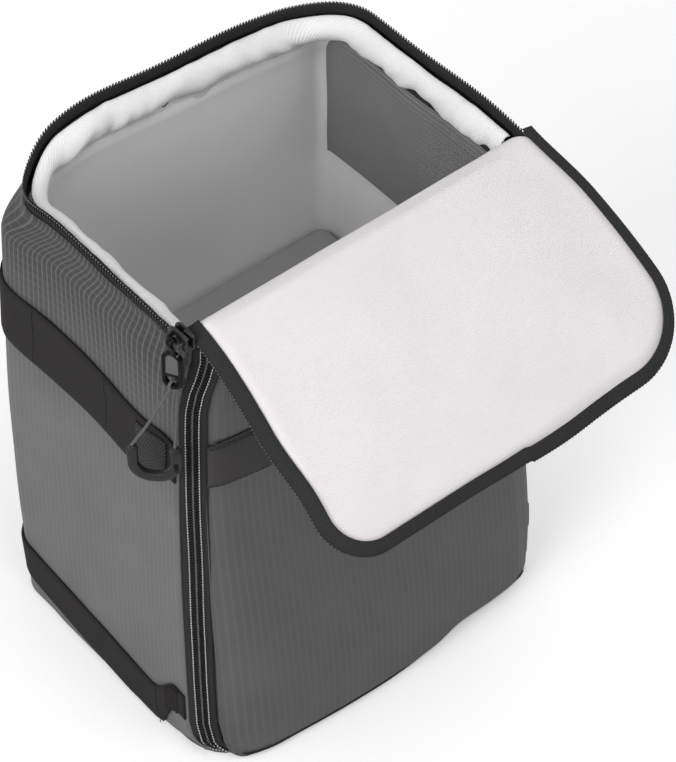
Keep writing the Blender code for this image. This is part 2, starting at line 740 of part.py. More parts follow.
def make_slider(looks):
    """The metal slider on the rim zip: two plates, the post between them and the bridge."""
    carrier = hinge_empty("slider_run", (SLIDER_X, SLIDER_Y, SLIDER_Z))
    nose, rear = SLIDER_LENGTH / 2, -SLIDER_LENGTH / 2
    half, narrow = SLIDER_HALF_HEIGHT, SLIDER_HALF_HEIGHT * SLIDER_REAR_SHARE
    outline = [(rear, -narrow), (nose - narrow / 2, -half), (nose, -narrow), (nose, narrow),
               (nose - narrow / 2, half), (rear, narrow)]
    steel, far = looks["steel"], CHANNEL + SLIDER_PLATE
    body = prism("slider_body", outline, "X", -far, -CHANNEL, steel, carrier)
    inner = prism("slider_inner", outline, "X", CHANNEL, far, steel, carrier)
    post = block("slider_post", (0, nose - POST_LENGTH / 2, 0),
                 (2 * CHANNEL + SLIDER_PLATE, POST_LENGTH - 2 * GAP, 2 * POST_HALF_HEIGHT),
                 steel, carrier)
    bar_x = BAR_X - SLIDER_X
    bar = rod("slider_bar", (bar_x, 0, 0), BAR_RADIUS, 0, BAR_HALF_LENGTH, steel, carrier)
    joined = [inner, post, bar]
    leg_reach = BAR_STAND_OFF + SLIDER_PLATE / 2
    for side in (-1, 1):
        place = (bar_x + leg_reach / 2, side * (BAR_HALF_LENGTH - BAR_RADIUS), 0)
        joined.append(block(f"slider_leg_{side}", place, (leg_reach, 2 * BAR_RADIUS, 2 * BAR_RADIUS),
                            steel, carrier))
    for piece in joined:
        join(body, piece)
    return carrier


def rod(name, centre, radius, bore, half_length, finish, parent=None):
    """A round bar along Y, or a tube where it has a bore."""
    x, y, z = centre
    turns = [2 * math.pi * i / ROUND_SIDES for i in range(ROUND_SIDES)]
    rings = []
    sides = [(radius, -half_length), (radius, half_length)]
    if bore:
        sides += [(bore, half_length), (bore, -half_length)]
        for turn in turns:
            across, up = math.cos(turn), math.sin(turn)
            rings.append([(x + r * across, y + along, z + r * up) for r, along in sides])
        return loft(name, rings, finish, parent, closed=True)
    for r, along in sides:
        rings.append([(x + r * math.cos(a), y + along, z + r * math.sin(a)) for a in turns])
    return loft(name, rings, finish, parent)


def make_pull_tab(looks, slider):
    """The moulded tab: an eye round the slider's bar and a slot for the cord."""
    hinge = hinge_empty("tab_hinge", (BAR_X, SLIDER_Y, SLIDER_Z), slider)
    moulding = looks["moulding"]
    tab = rod("pull_tab", (0, 0, 0), EYE_OUTER, EYE_INNER, EYE_HALF_LENGTH, moulding, hinge)
    top = -(EYE_INNER + EYE_OUTER) / 2
    low = -TAB_LENGTH
    half = TAB_HALF_SPAN
    outline = arc((0, low + half), half, -math.pi, 0)
    outline += [(half, -EYE_OUTER - half), (EYE_HALF_LENGTH, top), (-EYE_HALF_LENGTH, top),
                (-half, -EYE_OUTER - half)]
    plate = prism("tab_plate", outline, "X", -TAB_THICKNESS / 2, TAB_THICKNESS / 2, moulding, hinge)
    join(tab, plate)
    foot = low + TAB_SLOT_FOOT
    slot_half = TAB_SLOT_HALF_SPAN
    slot = arc((0, foot + slot_half), slot_half, -math.pi, 0)
    slot += arc((0, foot + TAB_SLOT_LENGTH - slot_half), slot_half, 0, math.pi)
    cutter = prism("tab_slot", slot, "X", -TAB_THICKNESS, TAB_THICKNESS, moulding, hinge)
    join(tab, cutter, "DIFFERENCE")
    return hinge


def grip_outline():
    """The U of the grip, its top ends at zero height."""
    half, wall, deep = GRIP_HALF_SPAN, GRIP_WALL, GRIP_HEIGHT
    corner = half - wall / 2
    outer = arc((corner - half, corner - deep), corner, math.pi, 3 * math.pi / 2)
    outer += arc((half - corner, corner - deep), corner, -math.pi / 2, 0)
    inner_half, inner_corner = half - wall, corner - wall
    inner = arc((inner_half - inner_corner, wall + inner_corner - deep), inner_corner, 0, -math.pi / 2)
    inner += arc((inner_corner - inner_half, wall + inner_corner - deep), inner_corner,
                 -math.pi / 2, -math.pi)
    return [(-half, 0)] + outer + [(half, 0), (inner_half, 0)] + inner + [(-inner_half, 0)]


def make_puller(looks, tab):
    """The cord through the tab's slot, and the moulded grip on its two ends."""
    hinge = hinge_empty("puller_hinge", (BAR_X, SLIDER_Y, CORD_TOP), tab)
    way = Vector((-math.sin(GRIP_TURN), math.cos(GRIP_TURN), 0))
    near = Vector((-GRIP_NEAR_STAND, -GRIP_NEAR_SET_IN, -GRIP_DROP))
    reach = GRIP_HALF_SPAN - GRIP_WALL / 2
    middle = near + way * reach
    far = middle + way * reach
    grip = prism("puller_grip", grip_outline(), "Y", -GRIP_THICKNESS / 2, GRIP_THICKNESS / 2,
                 looks["moulding"], hinge)
    grip.location = middle
    grip.rotation_euler = (0, 0, math.atan2(way.y, way.x))
    make_cord("puller_cord", cord_points(near, far), CORD_RADIUS, looks["cord"], hinge)


def cord_points(near, far):
    """The cord's route from the grip's near end, over the tab's foot and down to its far end."""
    turn = arc((0, 0), CORD_SIDE, 0, math.pi, CORD_TURN_STEPS)
    top = [Vector((x, 0, z - CORD_SIDE)) for x, z in turn]
    drop = Vector((0, 0, -TAB_SLOT_FOOT))
    past = top[0] + drop, top[-1] + drop
    lift, straight = Vector((0, 0, 2 * GAP)), Vector((0, 0, CORD_END))
    inner = [near + lift, near + straight] + [near.lerp(past[0], share) for share in CORD_SHARES]
    outer = [far.lerp(past[1], share) for share in reversed(CORD_SHARES)]
    outer += [far + straight, far + lift]
    return smooth(inner + [past[0]] + top + [past[1]] + outer, CORD_STEPS)


def smooth(points, steps):
    """Points on a smooth curve through the given points."""
    made = []
    padded = [2 * points[0] - points[1]] + points + [2 * points[-1] - points[-2]]
    for a, b, c, d in zip(padded, padded[1:], padded[2:], padded[3:]):
        for i in range(steps):
            t = i / steps
            made.append((2 * b + (c - a) * t + (2 * a - 5 * b + 4 * c - d) * t ** 2
                         + (3 * b - a - 3 * c + d) * t ** 3) / 2)
    made.append(points[-1])
    return made


def make_cord(name, points, radius, finish, parent=None):
    """A round cord along points."""
    data = bpy.data.curves.new(name, "CURVE")
    data.dimensions = "3D"
    data.bevel_depth = radius
    data.bevel_resolution = 2
    data.use_fill_caps = True
    line = data.splines.new("POLY")
    line.points.add(len(points) - 1)
    for spot, point in zip(line.points, points):
        spot.co = (*point, 1)
    data.materials.append(finish)
    made = bpy.data.objects.new(name, data)
    bpy.context.scene.collection.objects.link(made)
    made.parent = parent
    return made


def all_looks():
    """The plain colours of the finishes."""
    return {
        "shell": material("shell_ripstop", (0.13, 0.13, 0.135), 0.6),
        "foam": material("grey_foam", (0.3, 0.3, 0.31), 0.9),
        "lining": material("grey_knit", (0.5, 0.5, 0.51), 0.9),
        "pale_lining": material("pale_knit", (0.8, 0.8, 0.81), 0.9),
        "tape": material("black_tape", (0.03, 0.03, 0.03), 0.8),
        "teeth": material("black_teeth", (0.02, 0.02, 0.02), 0.35),
        "webbing": material("dark_webbing", (0.06, 0.055, 0.055), 0.8),
        "pocket": material("ribbed_elastic", (0.2, 0.2, 0.21), 0.85),
        "divider": material("divider_knit", (0.45, 0.45, 0.46), 0.9),
        "hook": material("hook_tape", (0.25, 0.25, 0.26), 0.9),
        "steel": material("black_metal", (0.03, 0.03, 0.03), 0.25, 0.9),
        "moulding": material("black_moulding", (0.02, 0.02, 0.02), 0.45),
        "cord": material("black_cord", (0.03, 0.03, 0.03), 0.8),
    }


def main():
    clear_scene()
    looks = all_looks()
    make_walls(looks)
    make_base(looks)
    make_box_zips(looks)
    webbing = looks["webbing"]
    strap("upper_strap", UPPER_STRAP_BASE, UPPER_STRAP_WIDTH, UPPER_STRAP_CLIMB, webbing)
    strap("lower_strap", LOWER_STRAP_BASE, LOWER_STRAP_WIDTH, LOWER_STRAP_CLIMB, webbing)
    make_pocket(looks)
    make_shelf(looks)
    make_upright(looks)
    make_lid(looks, make_door(looks))
    make_puller(looks, make_pull_tab(looks, make_slider(looks)))


main()
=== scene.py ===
"""Looks for the camera bag insert: cloth, coil zips, webbing, padding and light."""
import math

import bpy
import numpy as np
from mathutils import Matrix, Vector, noise


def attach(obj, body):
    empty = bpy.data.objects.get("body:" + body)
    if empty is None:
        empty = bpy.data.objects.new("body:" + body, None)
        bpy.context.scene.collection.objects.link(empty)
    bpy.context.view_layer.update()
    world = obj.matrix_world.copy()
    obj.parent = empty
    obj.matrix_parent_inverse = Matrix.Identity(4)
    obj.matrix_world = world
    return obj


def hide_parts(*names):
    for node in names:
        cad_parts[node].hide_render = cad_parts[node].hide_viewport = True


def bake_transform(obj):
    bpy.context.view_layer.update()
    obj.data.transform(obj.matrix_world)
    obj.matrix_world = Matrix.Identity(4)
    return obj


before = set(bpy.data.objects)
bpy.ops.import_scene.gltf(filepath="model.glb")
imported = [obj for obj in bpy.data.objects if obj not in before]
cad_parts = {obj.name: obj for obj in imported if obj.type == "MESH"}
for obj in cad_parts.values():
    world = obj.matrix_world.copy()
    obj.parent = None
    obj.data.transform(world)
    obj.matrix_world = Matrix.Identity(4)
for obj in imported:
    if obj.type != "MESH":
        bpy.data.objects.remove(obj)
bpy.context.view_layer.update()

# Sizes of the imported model, in metres
HALF, FRONT, BACK, TOP = 0.119, -0.086, 0.086, 0.33
SKIN, BOARD, GAP, LINING = 0.0012, 0.007, 0.0003, 0.0012
BEVEL, LEAN, BOW = 0.0106, 0.012, 0.012
WALL = SKIN + GAP + BOARD + GAP + LINING
INSET = WALL - LINING
CORNER, RIM_CORNER = 0.018, 0.042
RIM_HALF, RIM_BACK = 0.118, 0.083
DOOR_HALF, DOOR_TOP = HALF - BEVEL, 0.329
PITCH = 0.0021
ZIP_CORNER, ZIP_STEP = 0.012, 0.004
FOLD_Y, FOLD_Z, DROOP = -0.084, 0.344, math.radians(202)
LID_HALF = 0.115
SLIDER = Vector((-0.1175, -0.082, 0.339))
BAR_X = -0.1242
TAB_LENGTH = 0.034
CORD_TOP = 0.3108
SHELF_Z, SHELF = 0.15, 0.012
UPRIGHT_X = 0.02

# How the padding settles
RISE = 0.007
RIGHT_BULGE, REAR_BULGE = 0.007, 0.003
LEFT_LOW, LEFT_DEEP, LEFT_REAR, LEFT_TOP = 0.0035, 0.0025, 0.0045, 0.0024
FOOT, FOOT_MIDDLE, FOOT_RIGHT = 0.0075, 0.0045, 0.0036
RIM_WAVES = ((-0.112, 0.072, 0.022, -0.01), (-0.055, 0.085, 0.036, 0.006),
             (0.095, 0.08, 0.024, -0.006), (0.118, -0.055, 0.03, 0.006))
CORNER_SLIP = ((0.0, 0.0), (0.012, -0.01), (0.027, -0.0126), (0.066, -0.0112), (0.113, -0.0084),
               (0.165, -0.0057), (0.215, -0.0031), (0.259, -0.001), (0.28, 0.0006), (0.293, 0.0034),
               (0.305, 0.0075), (0.317, 0.0108), (0.3295, 0.0118), (0.3301, 0.0))
DOOR_FOOT, DOOR_LIFT, DOOR_CROWD = 0.0024, 0.01, 0.75
TUCK = 0.003
WAVE = 0.0009

# The lid, the folds and the pull
LID_ARCH = 0.007
PAD_LENGTH, PAD_SHORT = 0.15, 0.006
PAD_LEFT, PAD_LEFT_CORNER, PAD_RIGHT, PAD_RIGHT_CORNER = 0.1085, 0.025, 0.119, 0.042
FOLD_INNER = ((-0.0775, 0.3275), (-0.0782, 0.3345), (-0.0806, 0.34), (-0.085, 0.3425))
FOLD_OUTER = ((-0.0862, 0.3275), (-0.0866, 0.3318), (-0.0884, 0.3348))
CORD_RADIUS = 0.0009
CORD_SIDE = 0.0016 + CORD_RADIUS + GAP
PULLER = (Vector((-0.003, -0.003, -0.049)),
          Vector((-math.sin(math.radians(45)), math.cos(math.radians(45)), 0)), 0.01125)

# The photograph's view, and the light
PHOTO_WIDTH = 676
VIEW_AZIMUTH, VIEW_ELEVATION, VIEW_ROLL = -40.131, 46.848, 0.118
VIEW_FOCAL, VIEW_DISTANCE = 3505.5, 2.0
VIEW_TARGET = Vector((0.02575, -0.036, 0.17))
WORLD_FILL = 0.36
FLOOR_SHADE, FLOOR_GLOW = (0.94, 0.94, 0.94, 1), 0.3

# The noise takes its offsets from the clock unless its seed is set
noise.seed_set(7)


def ease(t):
    t = min(max(t, 0.0), 1.0)
    return t * t * (3 - 2 * t)


def drift(x, y, z):
    """Smooth noise from about -1 to 1."""
    return noise.noise(Vector((x, y, z)))


def foot(x):
    """How far the padded door stands out at its foot."""
    return (FOOT + FOOT_MIDDLE * ease((x + 0.112) / 0.03) + FOOT_RIGHT * ease((x - 0.045) / 0.05)
            + 0.003 * math.exp(-((x + 0.105) / 0.02) ** 2))


def bump(x, y, cx, cy, wide):
    return math.exp(-((x - cx) ** 2 + (y - cy) ** 2) / (2 * wide ** 2))


def soft(p):
    """Where a point of the walls or the door stands once the padding has settled."""
    x, y, z = p
    up = ease((z - 0.1) / 0.23)
    rise = RISE * up * ease((y - FRONT) / (BACK - FRONT))
    rise += up ** 2 * sum(high * bump(x, y, cx, cy, wide) for cx, cy, wide, high in RIM_WAVES)
    low = math.sin(math.pi * min(max(z / 0.335, 0.0), 1.0) ** 0.8)
    deep = math.sin(math.pi * min(max((y + 0.105) / 0.2, 0.0), 1.0))
    right = max(0.0, x / HALF) ** 3
    left = max(0.0, -x / HALF) ** 3
    rear = max(0.0, y / BACK) ** 3
    dx = RIGHT_BULGE * right * low * deep
    dx -= left * (LEFT_LOW + LEFT_DEEP * deep) * ease((0.29 - z) / 0.24)
    belly = math.sin(math.pi * min(1.0, max(0.0, z - 0.02) / 0.33))
    dx -= LEFT_REAR * left * ease((y + 0.02) / 0.09) * belly
    dx -= LEFT_TOP * left * up * math.exp(-((y - 0.065) / 0.025) ** 2)
    tuck_in = 0.0015 * up ** 2 * bump(x, y, -0.108, 0.072, 0.024)
    dy = REAR_BULGE * rear * low * math.cos(0.5 * math.pi * min(1.0, abs(x) / 0.14))
    dy -= foot(x) * ease((-0.04 - y) / 0.05) * (1 - ease((z - 0.02) / 0.2))
    slip = float(np.interp(z, *zip(*CORNER_SLIP)))
    slip *= math.exp(-((x + 0.1137) / 0.022) ** 2 - ((y + 0.088) / 0.03) ** 2)
    dx += tuck_in + slip * (0.7 if slip > 0 else 0.25)
    dy -= tuck_in + slip * (0.7 if slip > 0 else 0.97)
    near = (Vector(p) - SLIDER).length
    calm = ease((near - 0.02) / 0.06) * ease(z / 0.03)
    wave = noise.noise_vector(Vector((x * 13, y * 13, z * 13 + 5.0))) * WAVE * calm
    return Vector((x + dx + wave.x, y + dy + wave.y, z + rise + wave.z * 0.6))


def lean(z):
    """How far the front leans out at a height."""
    return LEAN * (1 - z / TOP)


def front_at(x, z):
    """The door's outer face, which bows forward between its edges."""
    return FRONT - lean(z) - BOW * (1 - (x / HALF) ** 2) * max(0.0, 1 - (z / TOP) ** 2)


def wall_front(z):
    return FRONT + BEVEL - lean(z)


# Mesh helpers


def add(name, verts, faces, mat, body, uvs=None, hides=(), slot=None):
    """A piece from plain lists, on a body, with its material and what it replaces; slot is not used."""
    mesh = bpy.data.meshes.new(name)
    mesh.from_pydata([tuple(v) for v in verts], [], faces)
    if uvs is not None:
        layer = mesh.uv_layers.new(name="cloth")
        order = [uvs[i] for f in faces for i in f]
        layer.data.foreach_set("uv", np.array(order, dtype=np.float32).ravel())
    mesh.polygons.foreach_set("use_smooth", [True] * len(faces))
    mesh.materials.append(mat)
    mesh.update()
    made = bpy.data.objects.new(name, mesh)
    bpy.context.scene.collection.objects.link(made)
    settle(made, body, hides, slot)
    return made


def settle(made, body, hides=(), slot=None):
    """A piece's body and the nodes it stands for; slot is not used."""
    if body:
        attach(made, body)
    if hides:
        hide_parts(*hides)


def lay(rows, columns, at, uv):
    """A grid of points over rows and columns of values, and its cloth coordinates."""
    return [[at(r, c) for c in columns] for r in rows], [[uv(r, c) for c in columns] for r in rows]


def cloth(name, grid, uvs, thick, mat, body, hides=(), slot=None, flip=False):
    """A cloth of a thickness behind a grid of its outer points; its UVs are in metres."""
    outer = np.array([[tuple(p) for p in row] for row in grid], dtype=float)
    rows, cols = outer.shape[:2]
    normal = np.cross(np.gradient(outer, axis=1), np.gradient(outer, axis=0))
    normal /= np.linalg.norm(normal, axis=2, keepdims=True) + 1e-12
    if flip:
        normal = -normal
    inner = outer - normal * thick
    verts = np.concatenate([outer.reshape(-1, 3), inner.reshape(-1, 3)])
    flat = [uv for row in uvs for uv in row]
    faces = []
    size = rows * cols

    def quad(a, b, c, d):
        faces.append((d, c, b, a) if flip else (a, b, c, d))

    for r in range(rows - 1):
        for c in range(cols - 1):
            i = r * cols + c
            quad(i, i + 1, i + cols + 1, i + cols)
            quad(size + i, size + i + cols, size + i + cols + 1, size + i + 1)
    for r in (0, rows - 1):
        for c in range(cols - 1):
            i = r * cols + c
            if r == 0:
                quad(i, size + i, size + i + 1, i + 1)
            else:
                quad(i, i + 1, size + i + 1, size + i)
    for c in (0, cols - 1):
        for r in range(rows - 1):
            i = r * cols + c
            if c == 0:
                quad(i, i + cols, size + i + cols, size + i)
            else:
                quad(i, size + i, size + i + cols, i + cols)
    return add(name, verts, faces, mat, body, flat + flat, hides, slot)


def ring_faces(base, rows, sides):
    """The faces between rings of points, and the two ends."""
    faces = []
    for r in range(rows - 1):
        for k in range(sides):
            a, b = base + r * sides + k, base + r * sides + (k + 1) % sides
            faces.append((a, b, b + sides, a + sides))
    faces.append(tuple(base + k for k in reversed(range(sides))))
    faces.append(tuple(base + (rows - 1) * sides + k for k in range(sides)))
    return faces


def ring_tube(name, points, radius, mat, body, sides=8, hides=(), slot=None, flat=1.0, up=None):
    """A tube along points; flat squeezes it across the given up direction."""
    points = [Vector(p) for p in points]
    verts, uvs = [], []
    last = len(points) - 1
    run, normal = 0.0, None
    for i, p in enumerate(points):
        ahead = (points[min(i + 1, last)] - points[max(i - 1, 0)]).normalized()
        if up is not None:
            base = Vector(up)
            normal = (base - ahead * base.dot(ahead)).normalized()
        elif normal is None:
            normal = ahead.orthogonal().normalized()
        else:
            normal = (normal - ahead * normal.dot(ahead)).normalized()
        side = ahead.cross(normal)
        if i:
            run += (p - points[i - 1]).length
        for k in range(sides):
            a = 2 * math.pi * k / sides
            verts.append(p + normal * math.cos(a) * radius * flat + side * math.sin(a) * radius)
            uvs.append((k / sides * 2 * math.pi * radius, run))
    return add(name, verts, ring_faces(0, last + 1, sides), mat, body, uvs, hides, slot)


def spread(points, step):
    """Evenly spaced points and directions along a polyline."""
    points = [Vector(p) for p in points]
    total = [0.0]
    for a, b in zip(points, points[1:]):
        total.append(total[-1] + (b - a).length)
    count = max(1, round(total[-1] / step))
    made, j = [], 0
    for i in range(count + 1):
        want = total[-1] * i / count
        while j < len(points) - 2 and total[j + 1] < want:
            j += 1
        t = (want - total[j]) / max(1e-9, total[j + 1] - total[j])
        made.append((points[j].lerp(points[j + 1], t), (points[j + 1] - points[j]).normalized()))
    return made


def stitches(name, paths, mat, body, long=0.0024, pitch=0.0034, radius=0.00026, lift=None, slot=None):
    """A row of thread stitches along each path, each one a small pill that dips at its ends; the same pills
    laid pale over a coil are painted glints.
    """
    verts, faces = [], []
    for path in paths:
        for p, way in spread(path, pitch):
            out = Vector(lift(p)) if callable(lift) else Vector(lift)
            out = (out - way * out.dot(way)).normalized()
            side = way.cross(out)
            base = len(verts)
            for share, fat in ((-0.5, 0.35), (-0.3, 1.0), (0.3, 1.0), (0.5, 0.35)):
                rise = radius * (0.9 if fat == 1.0 else -0.2)
                for k in range(6):
                    a = 2 * math.pi * k / 6
                    verts.append(p + way * long * share + out * (rise + radius * fat * math.cos(a))
                                 + side * radius * fat * math.sin(a))
            faces += ring_faces(base, 4, 6)
    return add(name, verts, faces, mat, body, None, (), slot)



# Materials


def effect(name, inputs, outputs, build):
    """A shader effect that several materials share: a node group with named inputs and outputs."""
    tree = bpy.data.node_groups.new(name, "ShaderNodeTree")
    for label, kind, value in inputs:
        socket = tree.interface.new_socket(name=label, in_out="INPUT", socket_type=kind)
        socket.default_value = value
    for label, kind in outputs:
        tree.interface.new_socket(name=label, in_out="OUTPUT", socket_type=kind)
    build(tree, tree.nodes.new("NodeGroupInput").outputs, tree.nodes.new("NodeGroupOutput").inputs)
    return tree


def chain(tree, op, first, second=None, third=None):
    """One step of sums in a node tree."""
    n = tree.nodes.new("ShaderNodeMath")
    n.operation = op
    for i, v in enumerate((first, second, third)):
        if isinstance(v, (int, float)):
            n.inputs[i].default_value = v
        elif v is not None:
            tree.links.new(v, n.inputs[i])
    return n.outputs[0]


def build_ribs(tree, given, made):
    turn = chain(tree, "MULTIPLY", given["Value"], chain(tree, "DIVIDE", 2 * math.pi, given["Pitch"]))
    ridge = chain(tree, "MULTIPLY_ADD", chain(tree, "SINE", turn), 0.5, 0.5)
    tree.links.new(chain(tree, "POWER", ridge, given["Sharpness"]), made["Ridge"])


def build_fuzz(tree, given, made):
    n = tree.nodes.new("ShaderNodeTexNoise")
    for key in ("Vector", "Scale", "Detail"):
        tree.links.new(given[key], n.inputs[key])
    tree.links.new(n.outputs["Fac"], made["Mask"])


def build_clouds(tree, given, made):
    n = tree.nodes.new("ShaderNodeTexNoise")
    n.inputs["Detail"].default_value = 3.0
    tree.links.new(given["Vector"], n.inputs["Vector"])
    tree.links.new(given["Scale"], n.inputs["Scale"])
    spread_out = tree.nodes.new("ShaderNodeMapRange")
    spread_out.inputs["From Min"].default_value = 0.3
    spread_out.inputs["From Max"].default_value = 0.7
    tree.links.new(n.outputs["Fac"], spread_out.inputs["Value"])
    mix = tree.nodes.new("ShaderNodeMix")
    mix.data_type = "RGBA"
    tree.links.new(spread_out.outputs["Result"], mix.inputs["Factor"])
    tree.links.new(given["Dark"], mix.inputs[6])
    tree.links.new(given["Light"], mix.inputs[7])
    tree.links.new(mix.outputs[2], made["Colour"])


def build_relief(tree, given, made):
    n = tree.nodes.new("ShaderNodeBump")
    for key in ("Height", "Strength", "Distance"):
        tree.links.new(given[key], n.inputs[key])
    tree.links.new(n.outputs["Normal"], made["Normal"])


FLOAT, VECTOR, COLOUR = "NodeSocketFloat", "NodeSocketVector", "NodeSocketColor"
MIDDLE, NOWHERE = (0.5, 0.5, 0.5, 1.0), (0, 0, 0)
RIBS = effect("even_ribs", (("Value", FLOAT, 0.0), ("Pitch", FLOAT, 0.001), ("Sharpness", FLOAT, 1.0)),
              (("Ridge", FLOAT),), build_ribs)
FUZZ = effect("fine_fuzz",
              (("Vector", VECTOR, NOWHERE), ("Scale", FLOAT, 1000.0), ("Detail", FLOAT, 2.0)),
              (("Mask", FLOAT),), build_fuzz)
CLOUDS = effect("cloudy_shade", (("Vector", VECTOR, NOWHERE), ("Scale", FLOAT, 20.0),
                                 ("Dark", COLOUR, MIDDLE), ("Light", COLOUR, MIDDLE)),
                (("Colour", COLOUR),), build_clouds)
RELIEF = effect("cloth_relief",
                (("Height", FLOAT, 0.0), ("Strength", FLOAT, 0.4), ("Distance", FLOAT, 0.0002)),
                (("Normal", VECTOR),), build_relief)


class Shader:
    """A small helper to lay out one material's nodes."""

    def __init__(self, name, roughness=0.6, metallic=0.0, sheen=0.0, gloss=0.5):
        self.mat = bpy.data.materials.new(name)
        self.mat.use_nodes = True
        self.tree = self.mat.node_tree
        self.bsdf = self.tree.nodes["Principled BSDF"]
        self.bsdf.inputs["Roughness"].default_value = roughness
        self.bsdf.inputs["Metallic"].default_value = metallic
        self.bsdf.inputs["Specular IOR Level"].default_value = gloss
        if sheen:
            self.bsdf.inputs["Sheen Weight"].default_value = sheen
            self.bsdf.inputs["Sheen Roughness"].default_value = 0.5

    def node(self, kind, **values):
        made = self.tree.nodes.new(kind)
        for key, value in values.items():
            if key in made.inputs:
                made.inputs[key].default_value = value
            else:
                setattr(made, key, value)
        return made

    def use(self, group, **values):
        """Place a shared effect with this material's own values; its one output comes back."""
        made = self.tree.nodes.new("ShaderNodeGroup")
        made.node_tree = group
        for key, value in values.items():
            if isinstance(value, tuple):
                made.inputs[key].default_value = (*value, 1.0)
            elif isinstance(value, (int, float)):
                made.inputs[key].default_value = value
            else:
                self.link(value, made.inputs[key])
        return made.outputs[0]

    def link(self, a, b):
        self.tree.links.new(a, b)

    def along_cloth(self):
        """The cloth's own coordinates in metres: both, along and across."""
        uv = self.node("ShaderNodeUVMap", uv_map="cloth").outputs["UV"]
        parts = self.split(uv)
        return uv, parts[0], parts[1]

    def in_space(self):
        return self.node("ShaderNodeTexCoord").outputs["Object"]

    def math(self, op, a, b=None, c=None):
        return chain(self.tree, op, a, b, c)

    def times(self, a, b):
        return self.math("MULTIPLY", a, b)

    def split(self, vector):
        n = self.node("ShaderNodeSeparateXYZ")
        self.link(vector, n.inputs[0])
        return n.outputs

    def wave(self, value, pitch, sharp=1.0):
        """A ridge from 0 to 1 once every pitch along a value."""
        return self.use(RIBS, Value=value, Pitch=pitch, Sharpness=sharp)

    def noise(self, vector, scale, detail=2.0):
        return self.use(FUZZ, Vector=vector, Scale=scale, Detail=detail)

    def clouds(self, vector, scale, dark, light):
        return self.use(CLOUDS, Vector=vector, Scale=scale, Dark=dark, Light=light)

    def ramp(self, value, low, high, start=0.0, end=1.0):
        n = self.node("ShaderNodeMapRange")
        self.link(value, n.inputs["Value"])
        for key, v in (("From Min", start), ("From Max", end), ("To Min", low), ("To Max", high)):
            n.inputs[key].default_value = v
        return n.outputs["Result"]

    def blend(self, share, a, b):
        """A colour between two, by a share or a value."""
        n = self.node("ShaderNodeMix", data_type="RGBA")
        if isinstance(share, (int, float)):
            n.inputs["Factor"].default_value = share
        else:
            self.link(share, n.inputs["Factor"])
        for key, v in ((6, a), (7, b)):
            if isinstance(v, tuple):
                n.inputs[key].default_value = (*v, 1.0)
            else:
                self.link(v, n.inputs[key])
        return n.outputs[2]

    def colour(self, value):
        self.link(value, self.bsdf.inputs["Base Color"])

    def finish(self, colour, heights, strength, distance):
        self.colour(colour)
        self.bump(heights, strength, distance)
        return self.mat

    def bump(self, heights, strength, distance):
        """Bumps from one or more heights."""
        total = heights[0]
        for extra in heights[1:]:
            total = self.math("ADD", total, extra)
        relief = self.use(RELIEF, Height=total, Strength=strength, Distance=distance)
        self.link(relief, self.bsdf.inputs["Normal"])


def grey(level, warm=0.0):
    """A grey of an sRGB level from 0 to 255, as linear light."""
    def lin(v):
        v = v / 255
        return v / 12.92 if v <= 0.04045 else ((v + 0.055) / 1.055) ** 2.4
    return (lin(level + warm), lin(level - 0.5 * warm), lin(level + 0.2 * warm))


def ripstop(name, level, painted_upper_shade=None):
    """Dark ripstop: fine upright ribs, a paler stripe every few millimetres, faint cross lines; an upper
    level adds painted shade towards the top.
    """
    s = Shader(name, roughness=0.5, gloss=0.25)
    uv, u, v = s.along_cloth()
    stripe = s.wave(u, 0.0043, 7.0)
    cross = s.wave(v, 0.0062, 14.0)
    weave = s.times(s.wave(u, 0.0005), s.wave(v, 0.0005))
    slub = s.noise(uv, 900.0, 1.0)
    base = s.clouds(uv, 26.0, grey(level - 5), grey(level + 3))
    # Painted shade: between heights 0.19 and 0.3 the cloth darkens to the upper level.
    if painted_upper_shade:
        base = s.blend(s.ramp(v, 0.0, 1.0, 0.19, 0.3), base, grey(painted_upper_shade))
    striped = s.blend(s.times(stripe, 0.6), base, grey(level + 12))
    crossed = s.blend(s.times(cross, 0.25), striped, grey(level + 4))
    s.colour(s.blend(s.times(slub, 0.25), crossed, grey((painted_upper_shade or level) - 12)))
    s.link(s.ramp(slub, 0.42, 0.6), s.bsdf.inputs["Roughness"])
    s.bump([s.times(stripe, 0.5), s.times(cross, 0.35), s.times(weave, 0.5)],
           0.5, 0.00018)
    return s.mat


def knit(name, level, pitch=0.0014, warm=1.0, depth=0.00022, shade=14):
    """Brushed knit: fine ribs across, a little fuzz, and slow changes of shade."""
    s = Shader(name, roughness=0.9, sheen=0.05, gloss=0.3)
    uv, u, v = s.along_cloth()
    rib = s.wave(v, pitch)
    loops = s.wave(u, 0.0011)
    fuzz = s.noise(uv, 1400.0, 2.0)
    base = s.clouds(uv, 18.0, grey(level - 3, warm), grey(level + 2, warm))
    ribbed_shade = s.blend(s.times(s.math("SUBTRACT", 1.0, rib), 0.5), base, grey(level - shade, warm))
    return s.finish(s.blend(s.times(fuzz, 0.2), ribbed_shade, grey(level - 20, warm)),
                    [rib, s.times(loops, 0.4), s.times(fuzz, 0.8)], 0.4, depth)


def canvas(name, level):
    """Fine canvas with slanting threads, as on the strip under the rim."""
    s = Shader(name, roughness=0.85, sheen=0.05, gloss=0.3)
    uv, u, v = s.along_cloth()
    slant = s.wave(s.math("ADD", u, s.times(v, 0.6)), 0.0016, 1.3)
    cross = s.wave(v, 0.0011)
    fuzz = s.noise(uv, 1300.0, 2.0)
    base = s.clouds(uv, 30.0, grey(level - 8, 0.5), grey(level + 3, 0.5))
    shade = s.blend(s.times(s.math("SUBTRACT", 1.0, slant), 0.4), base, grey(level - 24, 0.5))
    return s.finish(s.blend(s.times(fuzz, 0.12), shade, grey(level - 22, 0.5)),
                    [slant, s.times(cross, 0.5), s.times(fuzz, 0.5)], 0.5, 0.0003)


